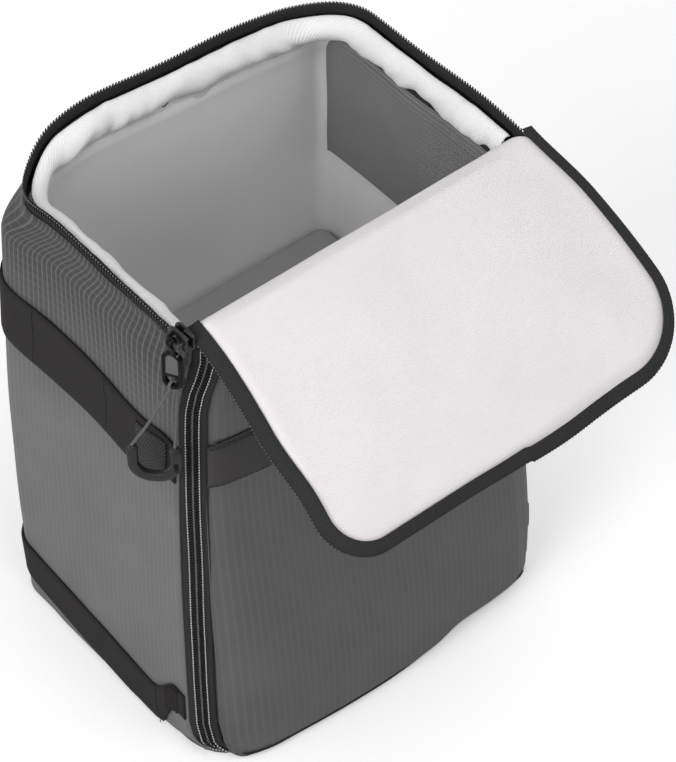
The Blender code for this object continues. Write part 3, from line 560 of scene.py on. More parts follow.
def tape_cloth(name, level):
    """Zip tape: a herringbone of fine threads in narrow columns."""
    s = Shader(name, roughness=0.8, gloss=0.15)
    uv, u, v = s.along_cloth()
    column = s.math("PINGPONG", v, 0.0012)
    slant = s.math("ADD", u, s.times(column, 1.2))
    thread = s.wave(slant, 0.0012, 1.4)
    ridge = s.wave(v, 0.0024, 3.0)
    fuzz = s.noise(uv, 1500.0, 2.0)
    shade = s.blend(thread, grey(level - 16), grey(level + 20))
    return s.finish(s.blend(s.times(fuzz, 0.4), shade, grey(level - 18)),
                    [thread, s.times(ridge, 0.4), s.times(fuzz, 0.4)], 0.6, 0.0002)


def webbing(name, level, coarse=False):
    """Flat webbing: twill threads that run along the strap, with a paler fleck."""
    s = Shader(name, roughness=0.8, gloss=0.12)
    uv, u, v = s.along_cloth()
    pitch = 0.0022 if coarse else 0.0012
    slant = s.math("ADD", u, s.times(v, 0.55))
    twill = s.wave(slant, pitch, 1.5)
    cord = s.wave(v, pitch)
    fleck = s.noise(uv, 1100.0, 2.0)
    shade = s.blend(s.times(twill, cord), grey(level - 10, 1.5),
                    grey(level + (34 if coarse else 12), 1.5))
    strength, distance = (0.7, 0.0003) if coarse else (0.45, 0.0002)
    return s.finish(s.blend(s.times(fleck, 0.35), shade, grey(level - 12, 1.5)),
                    [twill, cord, s.times(fleck, 0.5)], strength, distance)


def ribbed(name, level):
    """Ribbed elastic cloth with fine even ribs and pale flecks."""
    s = Shader(name, roughness=0.85, gloss=0.2)
    uv, u, v = s.along_cloth()
    rib = s.wave(v, 0.0014, 0.8)
    wide = s.wave(v, 0.0042, 1.0)
    loops = s.wave(u, 0.0012)
    fuzz = s.noise(uv, 1200.0, 2.0)
    shade = s.blend(rib, grey(level - 34), grey(level + 14))
    deeper = s.blend(s.times(wide, 0.25), shade, grey(level - 30))
    return s.finish(s.blend(s.times(fuzz, 0.45), deeper, grey(level - 24)),
                    [rib, s.times(loops, 0.25), s.times(fuzz, 0.35)], 0.7, 0.0005)


def moulded(name, level, roughness=0.42, grain=0.25, gloss=0.5):
    """Moulded plastic with a fine matt grain."""
    s = Shader(name, roughness=roughness, gloss=gloss)
    at = s.in_space()
    fine = s.noise(at, 2600.0, 2.0)
    slow = s.noise(at, 180.0, 2.0)
    s.colour(s.clouds(at, 180.0, grey(level - 3), grey(level + 4)))
    s.link(s.ramp(slow, roughness - 0.08, roughness + 0.1), s.bsdf.inputs["Roughness"])
    s.bump([fine], grain, 0.00008)
    return s.mat


def plated(name):
    """Glossy black plating, worn a little brighter on its edges."""
    s = Shader(name, roughness=0.16, metallic=0.2, gloss=0.2)
    at = s.in_space()
    scuff = s.noise(at, 900.0, 3.0)
    edge = s.node("ShaderNodeNewGeometry").outputs["Pointiness"]
    worn = s.ramp(edge, 0.0, 1.0, 0.52, 0.6)
    worn.node.clamp = True
    s.colour(s.blend(s.times(worn, scuff), grey(16), grey(96)))
    s.link(s.ramp(scuff, 0.14, 0.32), s.bsdf.inputs["Roughness"])
    s.bump([scuff], 0.08, 0.0001)
    return s.mat


def braid(name, level):
    """A thin braided cord."""
    s = Shader(name, roughness=0.7, gloss=0.3)
    at = s.in_space()
    x, y, z = s.split(at)
    across = s.times(s.math("ADD", x, y), 0.8)
    there, back = (s.wave(s.math(op, z, across), 0.0013) for op in ("ADD", "SUBTRACT"))
    both = s.math("MAXIMUM", there, back)
    return s.finish(s.blend(both, grey(level - 22), grey(level + 14)),
                    [both], 0.6, 0.0002)


def foam(name, level):
    """Foam with small open cells."""
    s = Shader(name, roughness=0.95)
    at = s.in_space()
    cells = s.node("ShaderNodeTexVoronoi", Scale=1500.0)
    s.link(at, cells.inputs["Vector"])
    return s.finish(s.blend(cells.outputs["Distance"], grey(level - 12), grey(level + 6)),
                    [cells.outputs["Distance"]], 0.3, 0.0002)


# One ripstop in two copies. The walls' copy is painted paler than the door's (110 against 89) as painted
# light, and it darkens to 58 near its top as painted shade.
SHELL = ripstop("shell_ripstop_cloth", 89)
SIDES_PAINTED_LIGHT_AND_SHADE = ripstop("side_ripstop_painted_light_and_shade", 110, 58)
PALE = knit("pale_knit_cloth", 232, 0.0013, 3.0, 0.0002, 8)
GUSSET = canvas("gusset_canvas_cloth", 248)
INNER = knit("inner_knit_cloth", 234, 0.0012, 0.5)
DIVIDER = knit("divider_knit_cloth", 150, 0.0013, 0.0)
TAPE = tape_cloth("zip_tape_cloth", 47)
WEB = webbing("dark_webbing_cloth", 47)
PATCH = webbing("coarse_webbing_cloth", 54, True)
POCKET = ribbed("pocket_rib_cloth", 140)
COIL = moulded("nylon_coil", 26, 0.3, 0.1, 0.15)
# Painted glints: the coil's heads are painted pale, standing in for highlights on black nylon.
PAINTED_GLINT_HEADS = moulded("nylon_coil_painted_glint_heads", 112, 0.25, 0.1)
STEEL = plated("black_plated_metal")
GRIP = moulded("grip_plastic", 40, 0.3, 0.2, 0.2)
CORD = braid("braided_cord", 84)
# Black thread for the stitches; the same dark material also paints the shadow in the gap above the front
# band.
THREAD_AND_GAP_SHADOW = moulded("black_thread_and_gap_shadow", 26, 0.6, 0.3)
SEAM = moulded("grey_thread", 176, 0.6, 0.3)
FOAM = foam("grey_foam_cells", 120)
HOOK = webbing("hook_tape_cloth", 80)
BAND = webbing("band_woven_cloth", 72)
# Painted glints: pale dots laid over the coils stand in for highlights on the coils' turns.
PAINTED_GLINT_DOTS = moulded("pale_painted_glint_dots", 196, 0.5, 0.3)
TABGLOSS = moulded("glossy_black_moulding", 14, 0.18, 0.1, 0.1)
STRIP = webbing("pull_tab_webbing", 100, True)


# Walls


def wall_size(z):
    """The walls' half width, back and corner radius at a height."""
    top = ease((z - 0.3) / 0.03)
    tuck = 0.0
    if z < TUCK:
        tuck = TUCK - math.sqrt(TUCK ** 2 - (TUCK - z) ** 2)
    return (HALF - (HALF - RIM_HALF) * top - tuck, BACK - (BACK - RIM_BACK) * top - tuck,
            CORNER + (RIM_CORNER - CORNER) * top)


def plan(share, z):
    """A point of the walls' outer plan and its way out; share runs 0 to 5 over the five stretches."""
    half, back, radius = wall_size(z)
    front = wall_front(z)
    part = min(int(share), 4)
    t = share - part
    turn = math.pi / 2 * t
    if part == 0:
        return (-half, front + (back - radius - front) * t), (-1, 0)
    if part == 1:
        out = (-math.cos(turn), math.sin(turn))
        return (radius - half + out[0] * radius, back - radius + out[1] * radius), out
    if part == 2:
        return (radius - half + 2 * (half - radius) * t, back), (0, 1)
    if part == 3:
        out = (math.sin(turn), math.cos(turn))
        return (half - radius + out[0] * radius, back - radius + out[1] * radius), out
    return (half, back - radius - (back - radius - front) * t), (1, 0)


def shares(fine=1.0):
    """Shares of the walls' plan, closer together in its corners."""
    made = []
    for part, count in enumerate((34, 12, 46, 12, 34)):
        count = max(4, round(count * fine))
        made += [part + i / count for i in range(count)]
    return made + [5.0]


def wall_point(share, z, depth=0.0):
    """A point of the walls at a depth behind their settled outer face."""
    (x, y), (nx, ny) = plan(share, z)
    outer = Vector((x, y, z))
    moved = soft(outer) - outer
    keep = 1 - 0.75 * min(max(depth / WALL, 0.0), 1.0)
    round_up = 0.0095 * ease((-0.058 - y) / 0.028) * max(0.0, 1 - z / 0.022) ** 2
    return Vector((x - nx * depth + moved.x * keep, y - ny * depth + moved.y * keep,
                   z + moved.z + round_up))


def nominal_run(share):
    """The length along the walls at mid height, for the cloth's pattern."""
    straight = BACK - CORNER - FRONT
    arc = math.pi / 2 * CORNER
    lengths = (straight, arc, 2 * (HALF - CORNER), arc, straight)
    part = min(int(share), 4)
    return sum(lengths[:part]) + lengths[part] * (share - part)


def heights(low, high, step):
    count = max(2, round((high - low) / step))
    return [low + (high - low) * i / count for i in range(count + 1)]


def wall_layer(name, depth, thick, zs, mat, hides, slot, columns=None, pucker=lambda s, z: 0.0):
    """A layer of the three walls at a depth behind their outer face."""
    grid, uvs = lay(zs, columns or shares(), lambda z, s: wall_point(s, z, depth + pucker(s, z)),
                    lambda z, s: (nominal_run(s), z))
    return cloth(name, grid, uvs, thick, mat, "box", hides, slot, flip=True)


LOW_ROWS, RIM_ROWS_FROM = [0.0004, 0.001, 0.0018, 0.003, 0.006], 0.290


def skin_wave(s, z):
    """Slight hollows and long folds of the outer cloth."""
    x = nominal_run(s)
    slow = drift(x * 22, z * 9, 2.0) * 0.0008
    long_folds = drift(x * 60, z * 7, 8.0) * 0.00035
    return -abs(slow) - long_folds


def make_walls():
    rows = LOW_ROWS + heights(0.009, RIM_ROWS_FROM, 0.006) + heights(RIM_ROWS_FROM + 0.003, TOP, 0.0028)
    wall_layer("side_wall_cloth", 0.0, SKIN, rows, SIDES_PAINTED_LIGHT_AND_SHADE, ["side_wrap"], "shell_ripstop",
               pucker=skin_wave)
    for name, cad, first, last in (("left_wall_foam", "left_board", 0.02, 1.0),
                                   ("back_wall_foam", "back_board", 2.0, 3.0),
                                   ("right_wall_foam", "right_board", 4.0, 4.98)):
        columns = [s for s in shares(0.4) if first <= s <= last]
        wall_layer(name, SKIN + GAP + 0.0006, BOARD - 0.001, heights(0.0105, 0.3200, 0.02),
                             FOAM, [cad], "grey_foam", columns)

    def slack(s, z):
        return drift(nominal_run(s) * 16, z * 12, 4.0) * 0.0006

    wall_layer("inner_lining_cloth", INSET, LINING, heights(0.0103, 0.3095, 0.008), INNER,
               ["side_lining"], "grey_knit", shares(0.8), pucker=slack)

    make_gusset()


GUSSET_SHAPE = ((0.005, 0.3308), (0.007, 0.3312), (0.0098, 0.33), (0.0128, 0.3266), (0.014, 0.3222),
                (0.013, 0.3182), (0.0104, 0.3156), (0.0088, 0.313), (0.0086, 0.308), (0.0086, 0.303))


def gusset_point(s, depth, z, along):
    """A point of the loose strip under the rim, which puckers between its two seams."""
    run = nominal_run(s)
    loose = math.sin(math.pi * along) ** 0.7
    wave = drift(run * 38, along * 1.2, 9.0) + 0.6 * drift(run * 95, along * 2, 1.0)
    return wall_point(s, z - 0.0022 * wave * loose, depth + (0.0028 * wave - 0.0004) * loose)


def make_gusset():
    columns = shares(2.0)
    shape = curve_through([(d, 0, z) for d, z in GUSSET_SHAPE], 3)
    runs = [0.0]
    for spot, after in zip(shape, shape[1:]):
        runs.append(runs[-1] + (after - spot).length)
    last = len(shape) - 1
    grid, uvs = lay(range(last, -1, -1), columns,
                    lambda j, s: gusset_point(s, shape[j].x, shape[j].z, j / last),
                    lambda j, s: (nominal_run(s), runs[j]))
    cloth("rim_gusset_cloth", grid, uvs, 0.0009, GUSSET, "box", ["rim_gusset"], "pale_knit", flip=True)
    path = [gusset_point(s, 0.0108, 0.3296, 0.26) for s in columns]
    stitches("rim_gusset_seam", [path], SEAM, "box", lift=(0, 0, 1), slot="pale_knit", long=0.0024,
             pitch=0.0036, radius=0.0003)


# Zips


def u_line(half, start, far, radius):
    """A U with two round corners: its length, and its point and way out at a distance."""
    way = math.copysign(1, far - start)
    first, turn, across = abs(far - start) - radius, math.pi / 2 * radius, 2 * (half - radius)

    def at(d):
        if d <= first:
            return Vector((-half, start + way * d)), Vector((-1, 0))
        d -= first
        if d <= turn:
            out = Vector((-math.cos(d / radius), way * math.sin(d / radius)))
            return Vector((radius - half, far - way * radius)) + out * radius, out
        d -= turn
        if d <= across:
            return Vector((radius - half + d, far)), Vector((0, way))
        d -= across
        if d <= turn:
            out = Vector((math.sin(d / radius), way * math.cos(d / radius)))
            return Vector((half - radius, far - way * radius)) + out * radius, out
        d -= turn
        return Vector((half, far - way * (radius + d))), Vector((1, 0))

    return 2 * first + 2 * turn + across, at


def rim_place(d):
    """A place on the zip round the rim: its point, the way across the tape and the way out."""
    (x, y), out = RIM_LINE[1](d)
    p = Vector((x, y, TOP + GAP))
    rock = drift(d * 18, 3.0, 1.0) * 0.0009 * ease(d / 0.05)
    return soft(p) + Vector((0, 0, rock)), Vector((0, 0, 1)), out.to_3d()


def door_place(d):
    """A place on the door's zip, which turns under the box at its foot and shows again at the right."""
    (x, z), out = DOOR_LINE[1](d)
    under = max(0.0, -out.y)
    shown = under * ease((x + 0.005) / 0.05)
    tilt = 0.2 + 0.9 * shown
    across = Vector((out.x, 1, out.y * tilt)).normalized()
    face = Vector((out.x, -1 + (1 - tilt) * under, out.y))
    face = (face - across * face.dot(across)).normalized()
    weave = drift(d * 9, 7.0, 2.0) * 0.001 * ease(d / 0.03) * (1 - under)
    y = front_at(x, z) + BEVEL / 2 + (0.0032 - 0.0036 * shown) * under
    return soft((x, y, z + 0.0045 * shown)) + across * weave, across, face


RIM_LINE = u_line(RIM_HALF, FRONT, RIM_BACK, RIM_CORNER)
DOOR_LINE = u_line(HALF - BEVEL / 2, DOOR_TOP, 0.0018, ZIP_CORNER)
DOOR_RUN = DOOR_LINE[0] - (DOOR_TOP - 0.0018 - ZIP_CORNER) - math.radians(40) * ZIP_CORNER


def tape(name, place, start, end, near, far, body, hides):
    """A woven tape behind the coil, from one distance across its line to another."""
    steps, under, thick = 4, 0.0009, 0.0006
    count = round((end - start) / ZIP_STEP)
    runs = [start + (end - start) * i / count for i in range(count + 1)]
    offs = [near + (far - near) * i / steps for i in range(steps + 1)]
    grid, uvs = [], [[(d, a) for a in offs] for d in runs]
    for centre, across, out in map(place, runs):
        grid.append([centre + across * a - out * under for a in offs])
    middle = len(grid) // 2
    probe, before = grid[middle], grid[middle - 1]
    way = (probe[1] - probe[0]).cross(probe[0] - before[0])
    inward = way.dot(place(runs[middle])[2]) < 0
    return cloth(name, grid, uvs, thick, TAPE, body, hides, "black_tape", flip=inward)


UPPER_STRAND = ((-0.0002, 0.5, 0.5, 0.0), (0.0003, 0.9, 0.9, 0.0), (0.0029, 0.9, 0.9, 0.0),
                (0.0037, 1.15, 1.15, 0.0001), (0.0043, 1.1, 1.05, -0.0001), (0.0046, 0.5, 0.5, -0.0002))
LOWER_STRAND = ((0.0000, 0.6, 0.6, -0.0008), (0.0004, 0.9, 0.9, -0.0008), (0.0041, 1.0, 1.0, -0.0007),
                (0.0045, 0.5, 0.5, -0.0006))
STRAND = 0.00046


def coil(name, place, start, end, root, way, phase, body, hides):
    """One side of a coil zip: upper strands with swollen heads, and lower ones between them."""
    verts, faces, painted_glint_faces = [], [], []

    def strand(d, shape, sides):
        centre, across, out = place(d)
        along = across.cross(out).normalized()
        base = len(verts)
        for reach, wide, tall, lift in shape:
            p = centre + across * (root + way * reach) + out * (lift - 0.0003)
            for k in range(sides):
                a = 2 * math.pi * k / sides
                verts.append(p + along * math.cos(a) * STRAND * wide + out * math.sin(a) * STRAND * tall)
        rows = len(shape)
        for r in range(rows - 1):
            for k in range(sides):
                j = (k + 1) % sides
                a, b = base + r * sides + k, base + r * sides + j
                c, d = b + sides, a + sides
                faces.append((a, d, c, b) if way > 0 else (a, b, c, d))
                painted_glint_faces.append(int(sides == 6 and r == 3))
        low = tuple(base + k for k in range(sides))
        high = tuple(base + (rows - 1) * sides + k for k in range(sides))
        faces.append(low if way > 0 else low[::-1])
        faces.append(high[::-1] if way > 0 else high)
        painted_glint_faces.extend((0, 0))

    first, last = math.ceil(start / (PITCH / 2)), math.floor(end / (PITCH / 2))
    for i in range(first, last + 1):
        if (i + phase) % 2:
            strand(i * PITCH / 2, LOWER_STRAND, 5)
        else:
            strand(i * PITCH / 2, UPPER_STRAND, 6)
    made = add(name, verts, faces, COIL, body, None, hides, "black_teeth")
    # The heads of the upper strands take the pale material: painted glints.
    made.data.materials.append(PAINTED_GLINT_HEADS)
    made.data.polygons.foreach_set("material_index", painted_glint_faces)
    return made


def seam_on(name, place, start, end, across_at, body, lift=0.0004, mat=None, **kind):
    """Stitches along a zip line at a distance across it; in the pale material they are painted glints."""
    points, ways = [], []
    count = round((end - start) / ZIP_STEP)
    for i in range(count + 1):
        centre, across, out = place(start + (end - start) * i / count)
        points.append(centre + across * across_at + out * lift)
        ways.append(out)

    def out_at(p):
        best = min(range(len(points)), key=lambda i: (points[i] - p).length_squared)
        return ways[best]

    return stitches(name, [points], mat or THREAD_AND_GAP_SHADOW, body, lift=out_at, slot="black_tape", **kind)


def make_rim_zip():
    length = RIM_LINE[0]
    tape("rim_zip_tape", rim_place, 0.0, length, -0.0015, 0.0070, "box", ["rim_tape"])
    coil("rim_zip_coil", rim_place, 0.0, length - 0.005, 0.0033, 1, 0, "box", ["rim_teeth"])
    seam_on("rim_zip_seam", rim_place, 0.0, length, 0.0009, "box", -0.0009)


def make_door_zip():
    tape("frame_zip_tape", door_place, 0.0, DOOR_RUN, 0.0005, 0.0080, "box", ["frame_tape"])
    tape("door_zip_tape", door_place, 0.0, DOOR_RUN, -0.0080, -0.0005, "door", ["door_tape"])
    coil("frame_zip_coil", door_place, 0.0, DOOR_RUN, 0.00375, -1, 1, "box", ["frame_teeth"])
    coil("door_zip_coil", door_place, 0.0, DOOR_RUN, -0.00375, 1, 0, "door", ["door_teeth"])
    # Pale dots over each coil, one per turn: painted glints, drawn as stitches.
    for name, at, body in (("frame_zip_painted_glints", 0.0036, "box"), ("door_zip_painted_glints", -0.0036, "door")):
        seam_on(name, door_place, 0.0, DOOR_RUN, at, body, 0.0002, PAINTED_GLINT_DOTS, long=0.0012, pitch=PITCH,
                radius=0.00038)


# Door


def door_half(z):
    """The door's half width at a height, less at its round lower corners."""
    radius = ZIP_CORNER - BEVEL / 2
    over = z - DOOR_FOOT
    if over >= radius:
        return DOOR_HALF
    return DOOR_HALF - radius + math.sqrt(max(0.0, radius ** 2 - (radius - over) ** 2))


def door_point(x, z, depth=0.0):
    outer = Vector((x, front_at(x, z), z))
    moved = soft(outer) - outer
    keep = 1 - 0.6 * min(max(depth / WALL, 0.0), 1.0)
    edge = min(door_half(z) - abs(x), z - DOOR_FOOT, DOOR_TOP - z + 0.003)
    turn = 0.0022 * (1 - ease(edge / 0.007))
    puff = 0.0012 * ease(edge / 0.05) * (1 if depth < 0.001 else 0)
    return Vector((x + moved.x * keep, outer.y + depth + turn - puff + moved.y * keep, z + moved.z))


def door_layer(name, depth, thick, mat, hides, slot, columns, fine, wave=lambda x, z: 0.0, start=0.0):
    """A layer of the door at a depth behind its outer face."""
    radius = ZIP_CORNER - BEVEL / 2
    turns = [math.pi / 2 * i / 6 for i in range(6)]
    zs = [DOOR_FOOT + radius * (1 - math.cos(a)) for a in turns]
    zs += heights(DOOR_FOOT + radius, DOOR_TOP, fine)
    zs = [z for z in zs if z >= DOOR_FOOT + start]

    def at(z, i):
        half = door_half(z)
        x = half * (2 * i / columns - 1)
        bend = math.asin(max(-1, min(1, x / half))) * DOOR_CROWD
        x = half * math.sin(bend) / math.sin(DOOR_CROWD / 2 * math.pi)
        lift = DOOR_LIFT * ease((x - 0.005) / 0.05) * (1 - ease((z - DOOR_FOOT) / 0.03))
        p = door_point(x, z + lift, depth)
        p.y += wave(x, z)
        return p

    grid = lay(zs, range(columns + 1), at, lambda z, i: None)[0]
    uvs = [[(p.x, z) for p in row] for z, row in zip(zs, grid)]
    return cloth(name, grid, uvs, thick, mat, "door", hides, slot)


BAND_TOP, BAND_LOW = 0.252, 0.252 - 0.032


def make_door():
    def pull(x, z):
        """The cloth's slow waves, and its pucker beside the band."""
        slow = drift(x * 18, z * 8, 11.0) * 0.0008
        long_folds = drift(x * 55, z * 6, 3.0) * 0.0003
        near = min(abs(z - BAND_TOP), abs(z - BAND_LOW))
        pucker = drift(x * 130, z * 30, 6.0) * 0.0006 * (1 - ease(near / 0.02))
        sink = 0.0006 * (1 - ease(near / 0.008))
        return -abs(slow) - long_folds + pucker + sink

    door_layer("door_shell_cloth", 0.0, SKIN, SHELL, ["door_shell"], "shell_ripstop", 64, 0.0045, pull)
    door_layer("door_foam", SKIN + 0.0012, BOARD - 0.0016, FOAM, ["door_board"], "grey_foam",
                         16, 0.02, start=0.0045)
    door_layer("door_lining_cloth", INSET + 0.0006, LINING, INNER, ["door_lining"], "grey_knit", 30,
               0.012)

    def band_point(x, z):
        p = door_point(x, z)
        p.y -= 0.0004 + 0.0012 * ease((min(z - BAND_LOW, BAND_TOP - z) + 0.0006) / 0.0022)
        return p

    # A dark strip with a ragged edge along the band's top: painted shadow of the gap above the band, which
    # stands off the door.
    def gap_shadow_point(x, j):
        ragged = drift(x * 700, j * 3.0, 4.0) * 0.0007
        p = door_point(x, BAND_TOP - 0.0004 + (0.0024 + ragged) * j / 3)
        p.y -= 0.0007 + 0.0005 * math.sin(math.pi * j / 3)
        return p

    grid, uvs = lay([(DOOR_HALF - GAP) * (2 * i / 60 - 1) for i in range(61)],
                    [BAND_LOW + (BAND_TOP - BAND_LOW) * j / 8 for j in range(9)],
                    band_point, lambda x, z: (x, z))
    cloth("front_band_cloth", grid, uvs, 0.0013, BAND, "door", ["front_band"], "dark_webbing", flip=True)
    # The painted shadow strip in the gap above the band.
    grid, uvs = lay([(DOOR_HALF - 0.004) * (2 * i / 180 - 1) for i in range(181)], range(4),
                    gap_shadow_point, lambda x, j: (x, 0.0008 * j))
    cloth("band_painted_gap_shadow", grid, uvs, 0.0006, THREAD_AND_GAP_SHADOW, "door", (), "dark_webbing", flip=True)
    for name, z in (("band_top_seam", BAND_TOP - 0.0016), ("band_low_seam", BAND_LOW + 0.0016)):
        path = [door_point((DOOR_HALF - 0.002) * (2 * i / 60 - 1), z) - Vector((0, 0.0017, 0))
                for i in range(61)]
        stitches(name, [path], THREAD_AND_GAP_SHADOW, "door", lift=(0, -1, 0), slot="dark_webbing")


# Lid


def lid_half(a, side):
    """The pad's reach to one side at a distance from its fold."""
    if side < 0:
        wide = PAD_LEFT + 0.014 * ease(a / 0.125) + 0.003 * ease((a - 0.1) / 0.05)
        radius = PAD_LEFT_CORNER
    else:
        wide, radius = PAD_RIGHT + 0.003 * ease(a / 0.05), PAD_RIGHT_CORNER
    over = a - (PAD_LENGTH - radius)
    if over <= 0:
        return wide
    return wide - radius + math.sqrt(max(0.0, radius ** 2 - over ** 2))


def lid_turn(x, a, h):
    """A direction of the closed lid, turned to where the lid lies."""
    return Vector((x, a * math.cos(DROOP) - h * math.sin(DROOP),
                   a * math.sin(DROOP) + h * math.cos(DROOP)))


def lid_at(x, a, h):
    """A point of the lid: across it, away from its fold, and towards its outer face."""
    arch = -LID_ARCH * math.sin(math.pi * min(max(a / PAD_LENGTH, 0.0), 1.0))
    twist = 0.001 * (x / LID_HALF) * ease(a / PAD_LENGTH)
    a -= PAD_SHORT * ease(a / PAD_LENGTH) * ease((x + 0.03) / 0.11)
    return Vector((0, FOLD_Y, FOLD_Z)) + lid_turn(x, a, h + arch + twist)


def lid_edge(x, a):
    """How far a point of the pad lies inside its edge."""
    radius = PAD_LEFT_CORNER if x < 0 else PAD_RIGHT_CORNER
    wide = lid_half(min(a, PAD_LENGTH - radius), x)
    qx, qa = abs(x) - (wide - radius), a - (PAD_LENGTH - radius)
    if qx > 0 and qa > 0:
        return radius - math.hypot(qx, qa)
    return min(wide - abs(x), PAD_LENGTH - a)


def lid_rows(step):
    bend = PAD_LENGTH - PAD_RIGHT_CORNER
    rows = heights(0.007, bend, step)
    rows += [bend + PAD_RIGHT_CORNER * math.sin(math.pi / 2 * i / 20) for i in range(1, 21)]
    return rows


FOLD_HALF, LID_CROWD = 0.1072, 0.86


def crowd(share):
    """A share across the lid, closer to its neighbours near the lid's sides."""
    return math.sin(math.pi / 2 * share * LID_CROWD) / math.sin(math.pi / 2 * LID_CROWD)


def lid_column(share, a):
    """The place across the pad at a share from -1 to 1."""
    t = crowd(share)
    return t * lid_half(a, t)


def lid_layer(name, height, thick, mat, hides, slot, step=0.004, columns=56, flip=False, fold=None):
    """A layer of the lid; with a fold, its cloth starts at the door's top and runs over the fold."""
    rows = lid_rows(step)
    ways = [2 * i / columns - 1 for i in range(columns + 1)]
    grid, uvs = [], []
    for a in rows:
        row = [lid_column(t, a) for t in ways]
        grid.append([lid_at(x, a, height(x, a, lid_edge(x, a))) for x in row])
        uvs.append([(x, a) for x in row])
    if not fold:
        return cloth(name, grid, uvs, thick, mat, "lid", hides, slot, flip)
    over, over_uvs = [], []
    for i, t in enumerate(ways):
        start = FOLD_HALF * crowd(t)
        end = grid[0][i]
        points = []
        for k, (y, z) in enumerate(fold):
            share = k / len(fold)
            edge = 1 - ease((1 - abs(t)) / 0.1)
            x = start + (end.x - start) * ease(share)
            sway = drift(x * 24, share * 2, 2.0) * 0.0008
            points.append(Vector((x, y, z + sway - 0.003 * edge * share)))
        line = curve_through(points + [end, grid[1][i], grid[2][i]], 5)
        over.append(line[:len(fold) * 5])
        runs = [-(1 - j / (len(fold) * 5)) * 0.022 + rows[0] for j in range(len(fold) * 5)]
        over_uvs.append([(p.x, run) for p, run in zip(over[-1], runs)])
    first = [list(row) for row in zip(*over)]
    first_uvs = [list(row) for row in zip(*over_uvs)]
    made = cloth(name, first + grid, first_uvs + uvs, thick, mat, None, hides, slot, flip)
    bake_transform(made)
    return made


def lid_inner(x, a, edge):
    wave = drift(x * 20, a * 20, 3.0) * 0.001
    crease = drift(x * 55 + a * 30, a * 70, 8.0) * 0.0004
    return (0.0034 * (1 - ease(edge / 0.007)) - 0.003 * ease(edge / 0.06)
            + (wave + crease) * ease(edge / 0.02))


def lid_outer(x, a, edge):
    wave = drift(x * 18, a * 18, 7.0) * 0.001
    return (0.0088 + 0.002 * ease(edge / 0.05) - 0.004 * (1 - ease(edge / 0.009))
            + wave * ease(edge / 0.02))


def path_line(points):
    """A line through points: its length, and its point and way out at a distance."""
    points = [Vector(p) for p in points]
    runs = [0.0]
    for a, b in zip(points, points[1:]):
        runs.append(runs[-1] + (b - a).length)

    def at(d):
        d = min(max(d, 0.0), runs[-1])
        i = int(np.searchsorted(runs, d, side="right")) - 1
        i = min(max(i, 0), len(points) - 2)
        way = (points[i + 1] - points[i]).normalized()
        spot = points[i].lerp(points[i + 1], (d - runs[i]) / (runs[i + 1] - runs[i]))
        before = (points[i] - points[i - 1]).normalized() if i else way
        after = (points[i + 2] - points[i + 1]).normalized() if i < len(points) - 2 else way
        t = (d - runs[i]) / (runs[i + 1] - runs[i])
        way = ((before + way) * (1 - t) + (way + after) * t).normalized()
        return spot, Vector((-way.y, way.x))

    return runs[-1], at


def lid_path():
    """The pad's outline from the fold's left end round to its right end."""
    line = []
    for side, radius in ((-1, PAD_LEFT_CORNER), (1, PAD_RIGHT_CORNER)):
        bend = PAD_LENGTH - radius
        wide = lid_half(bend, side)
        part = [(side * lid_half(a, side), a) for a in heights(-0.002, bend, 0.006)]
        turns = [math.pi / 2 * i / 14 for i in range(1, 15)]
        part += [(side * (wide - radius + radius * math.cos(t)), bend + radius * math.sin(t))
                 for t in turns]
        line.append(part)
    left, right = line
    across = [(x, PAD_LENGTH) for x in np.linspace(left[-1][0], right[-1][0], 24)[1:-1]]
    return path_line(left + across + right[::-1])


LID_LINE = lid_path()


def lid_place(d):
    """A place on the lid's zip tape, which slips under the puffed pad near its left corner."""
    (x, a), out = LID_LINE[1](d)
    far = max(0.0, out.y)
    if x < 0:
        hidden = 0.35 + 0.65 * ease((a - 0.07) / 0.045) * (1 - ease((x + 0.045) / 0.08) * far)
    else:
        hidden = (1 - ease((x + 0.045) / 0.08)) * far
    slope = math.radians(24 + 14 * far + 10 * hidden)
    lift = drift(d * 14, 5.0, 4.0) * 0.0006
    across = lid_turn(out.x * math.cos(slope), out.y * math.cos(slope), math.sin(slope))
    face = lid_turn(-out.x * math.sin(slope), -out.y * math.sin(slope), math.cos(slope))
    side = 0.0016 * max(0.0, out.x)
    return lid_at(x, a, 0.004 + lift) - across * (0.0062 * hidden + side), across, face


def make_lid():
    lid_layer("lid_lining_pad", lid_inner, 0.0012, PALE, ["lid_lining", "lid_hinge_flap"],
                        "pale_knit", 0.003, 64, True, FOLD_INNER)
    lid_layer("lid_foam", lambda x, a, e: lid_inner(x, a, e) + 0.0014, 0.0030, FOAM,
                        ["lid_board"], "grey_foam", 0.012, 20, True)
    lid_layer("lid_shell_cloth", lid_outer, 0.0010, SHELL, ["lid_shell", "top_hinge_strip"],
              "shell_ripstop", 0.004, 56, False, FOLD_OUTER)
    length = LID_LINE[0]
    tape("lid_zip_tape", lid_place, 0.0, length, -0.0012, 0.0074, "lid", ["lid_tape"])
    coil("lid_zip_coil", lid_place, 0.0, length - 0.005, 0.0036, 1, 1, "lid", ["lid_teeth"])
    seam_on("lid_zip_seam", lid_place, 0.001, length - 0.001, 0.0012, "lid", -0.0019)
    # Pale dots over the coil: painted glints, drawn as stitches.
    seam_on("lid_coil_painted_glints", lid_place, 0.001, length - 0.006, 0.0052, "lid", 0.0004, PAINTED_GLINT_DOTS, long=0.0008,
            pitch=PITCH / 1.6, radius=0.00038)


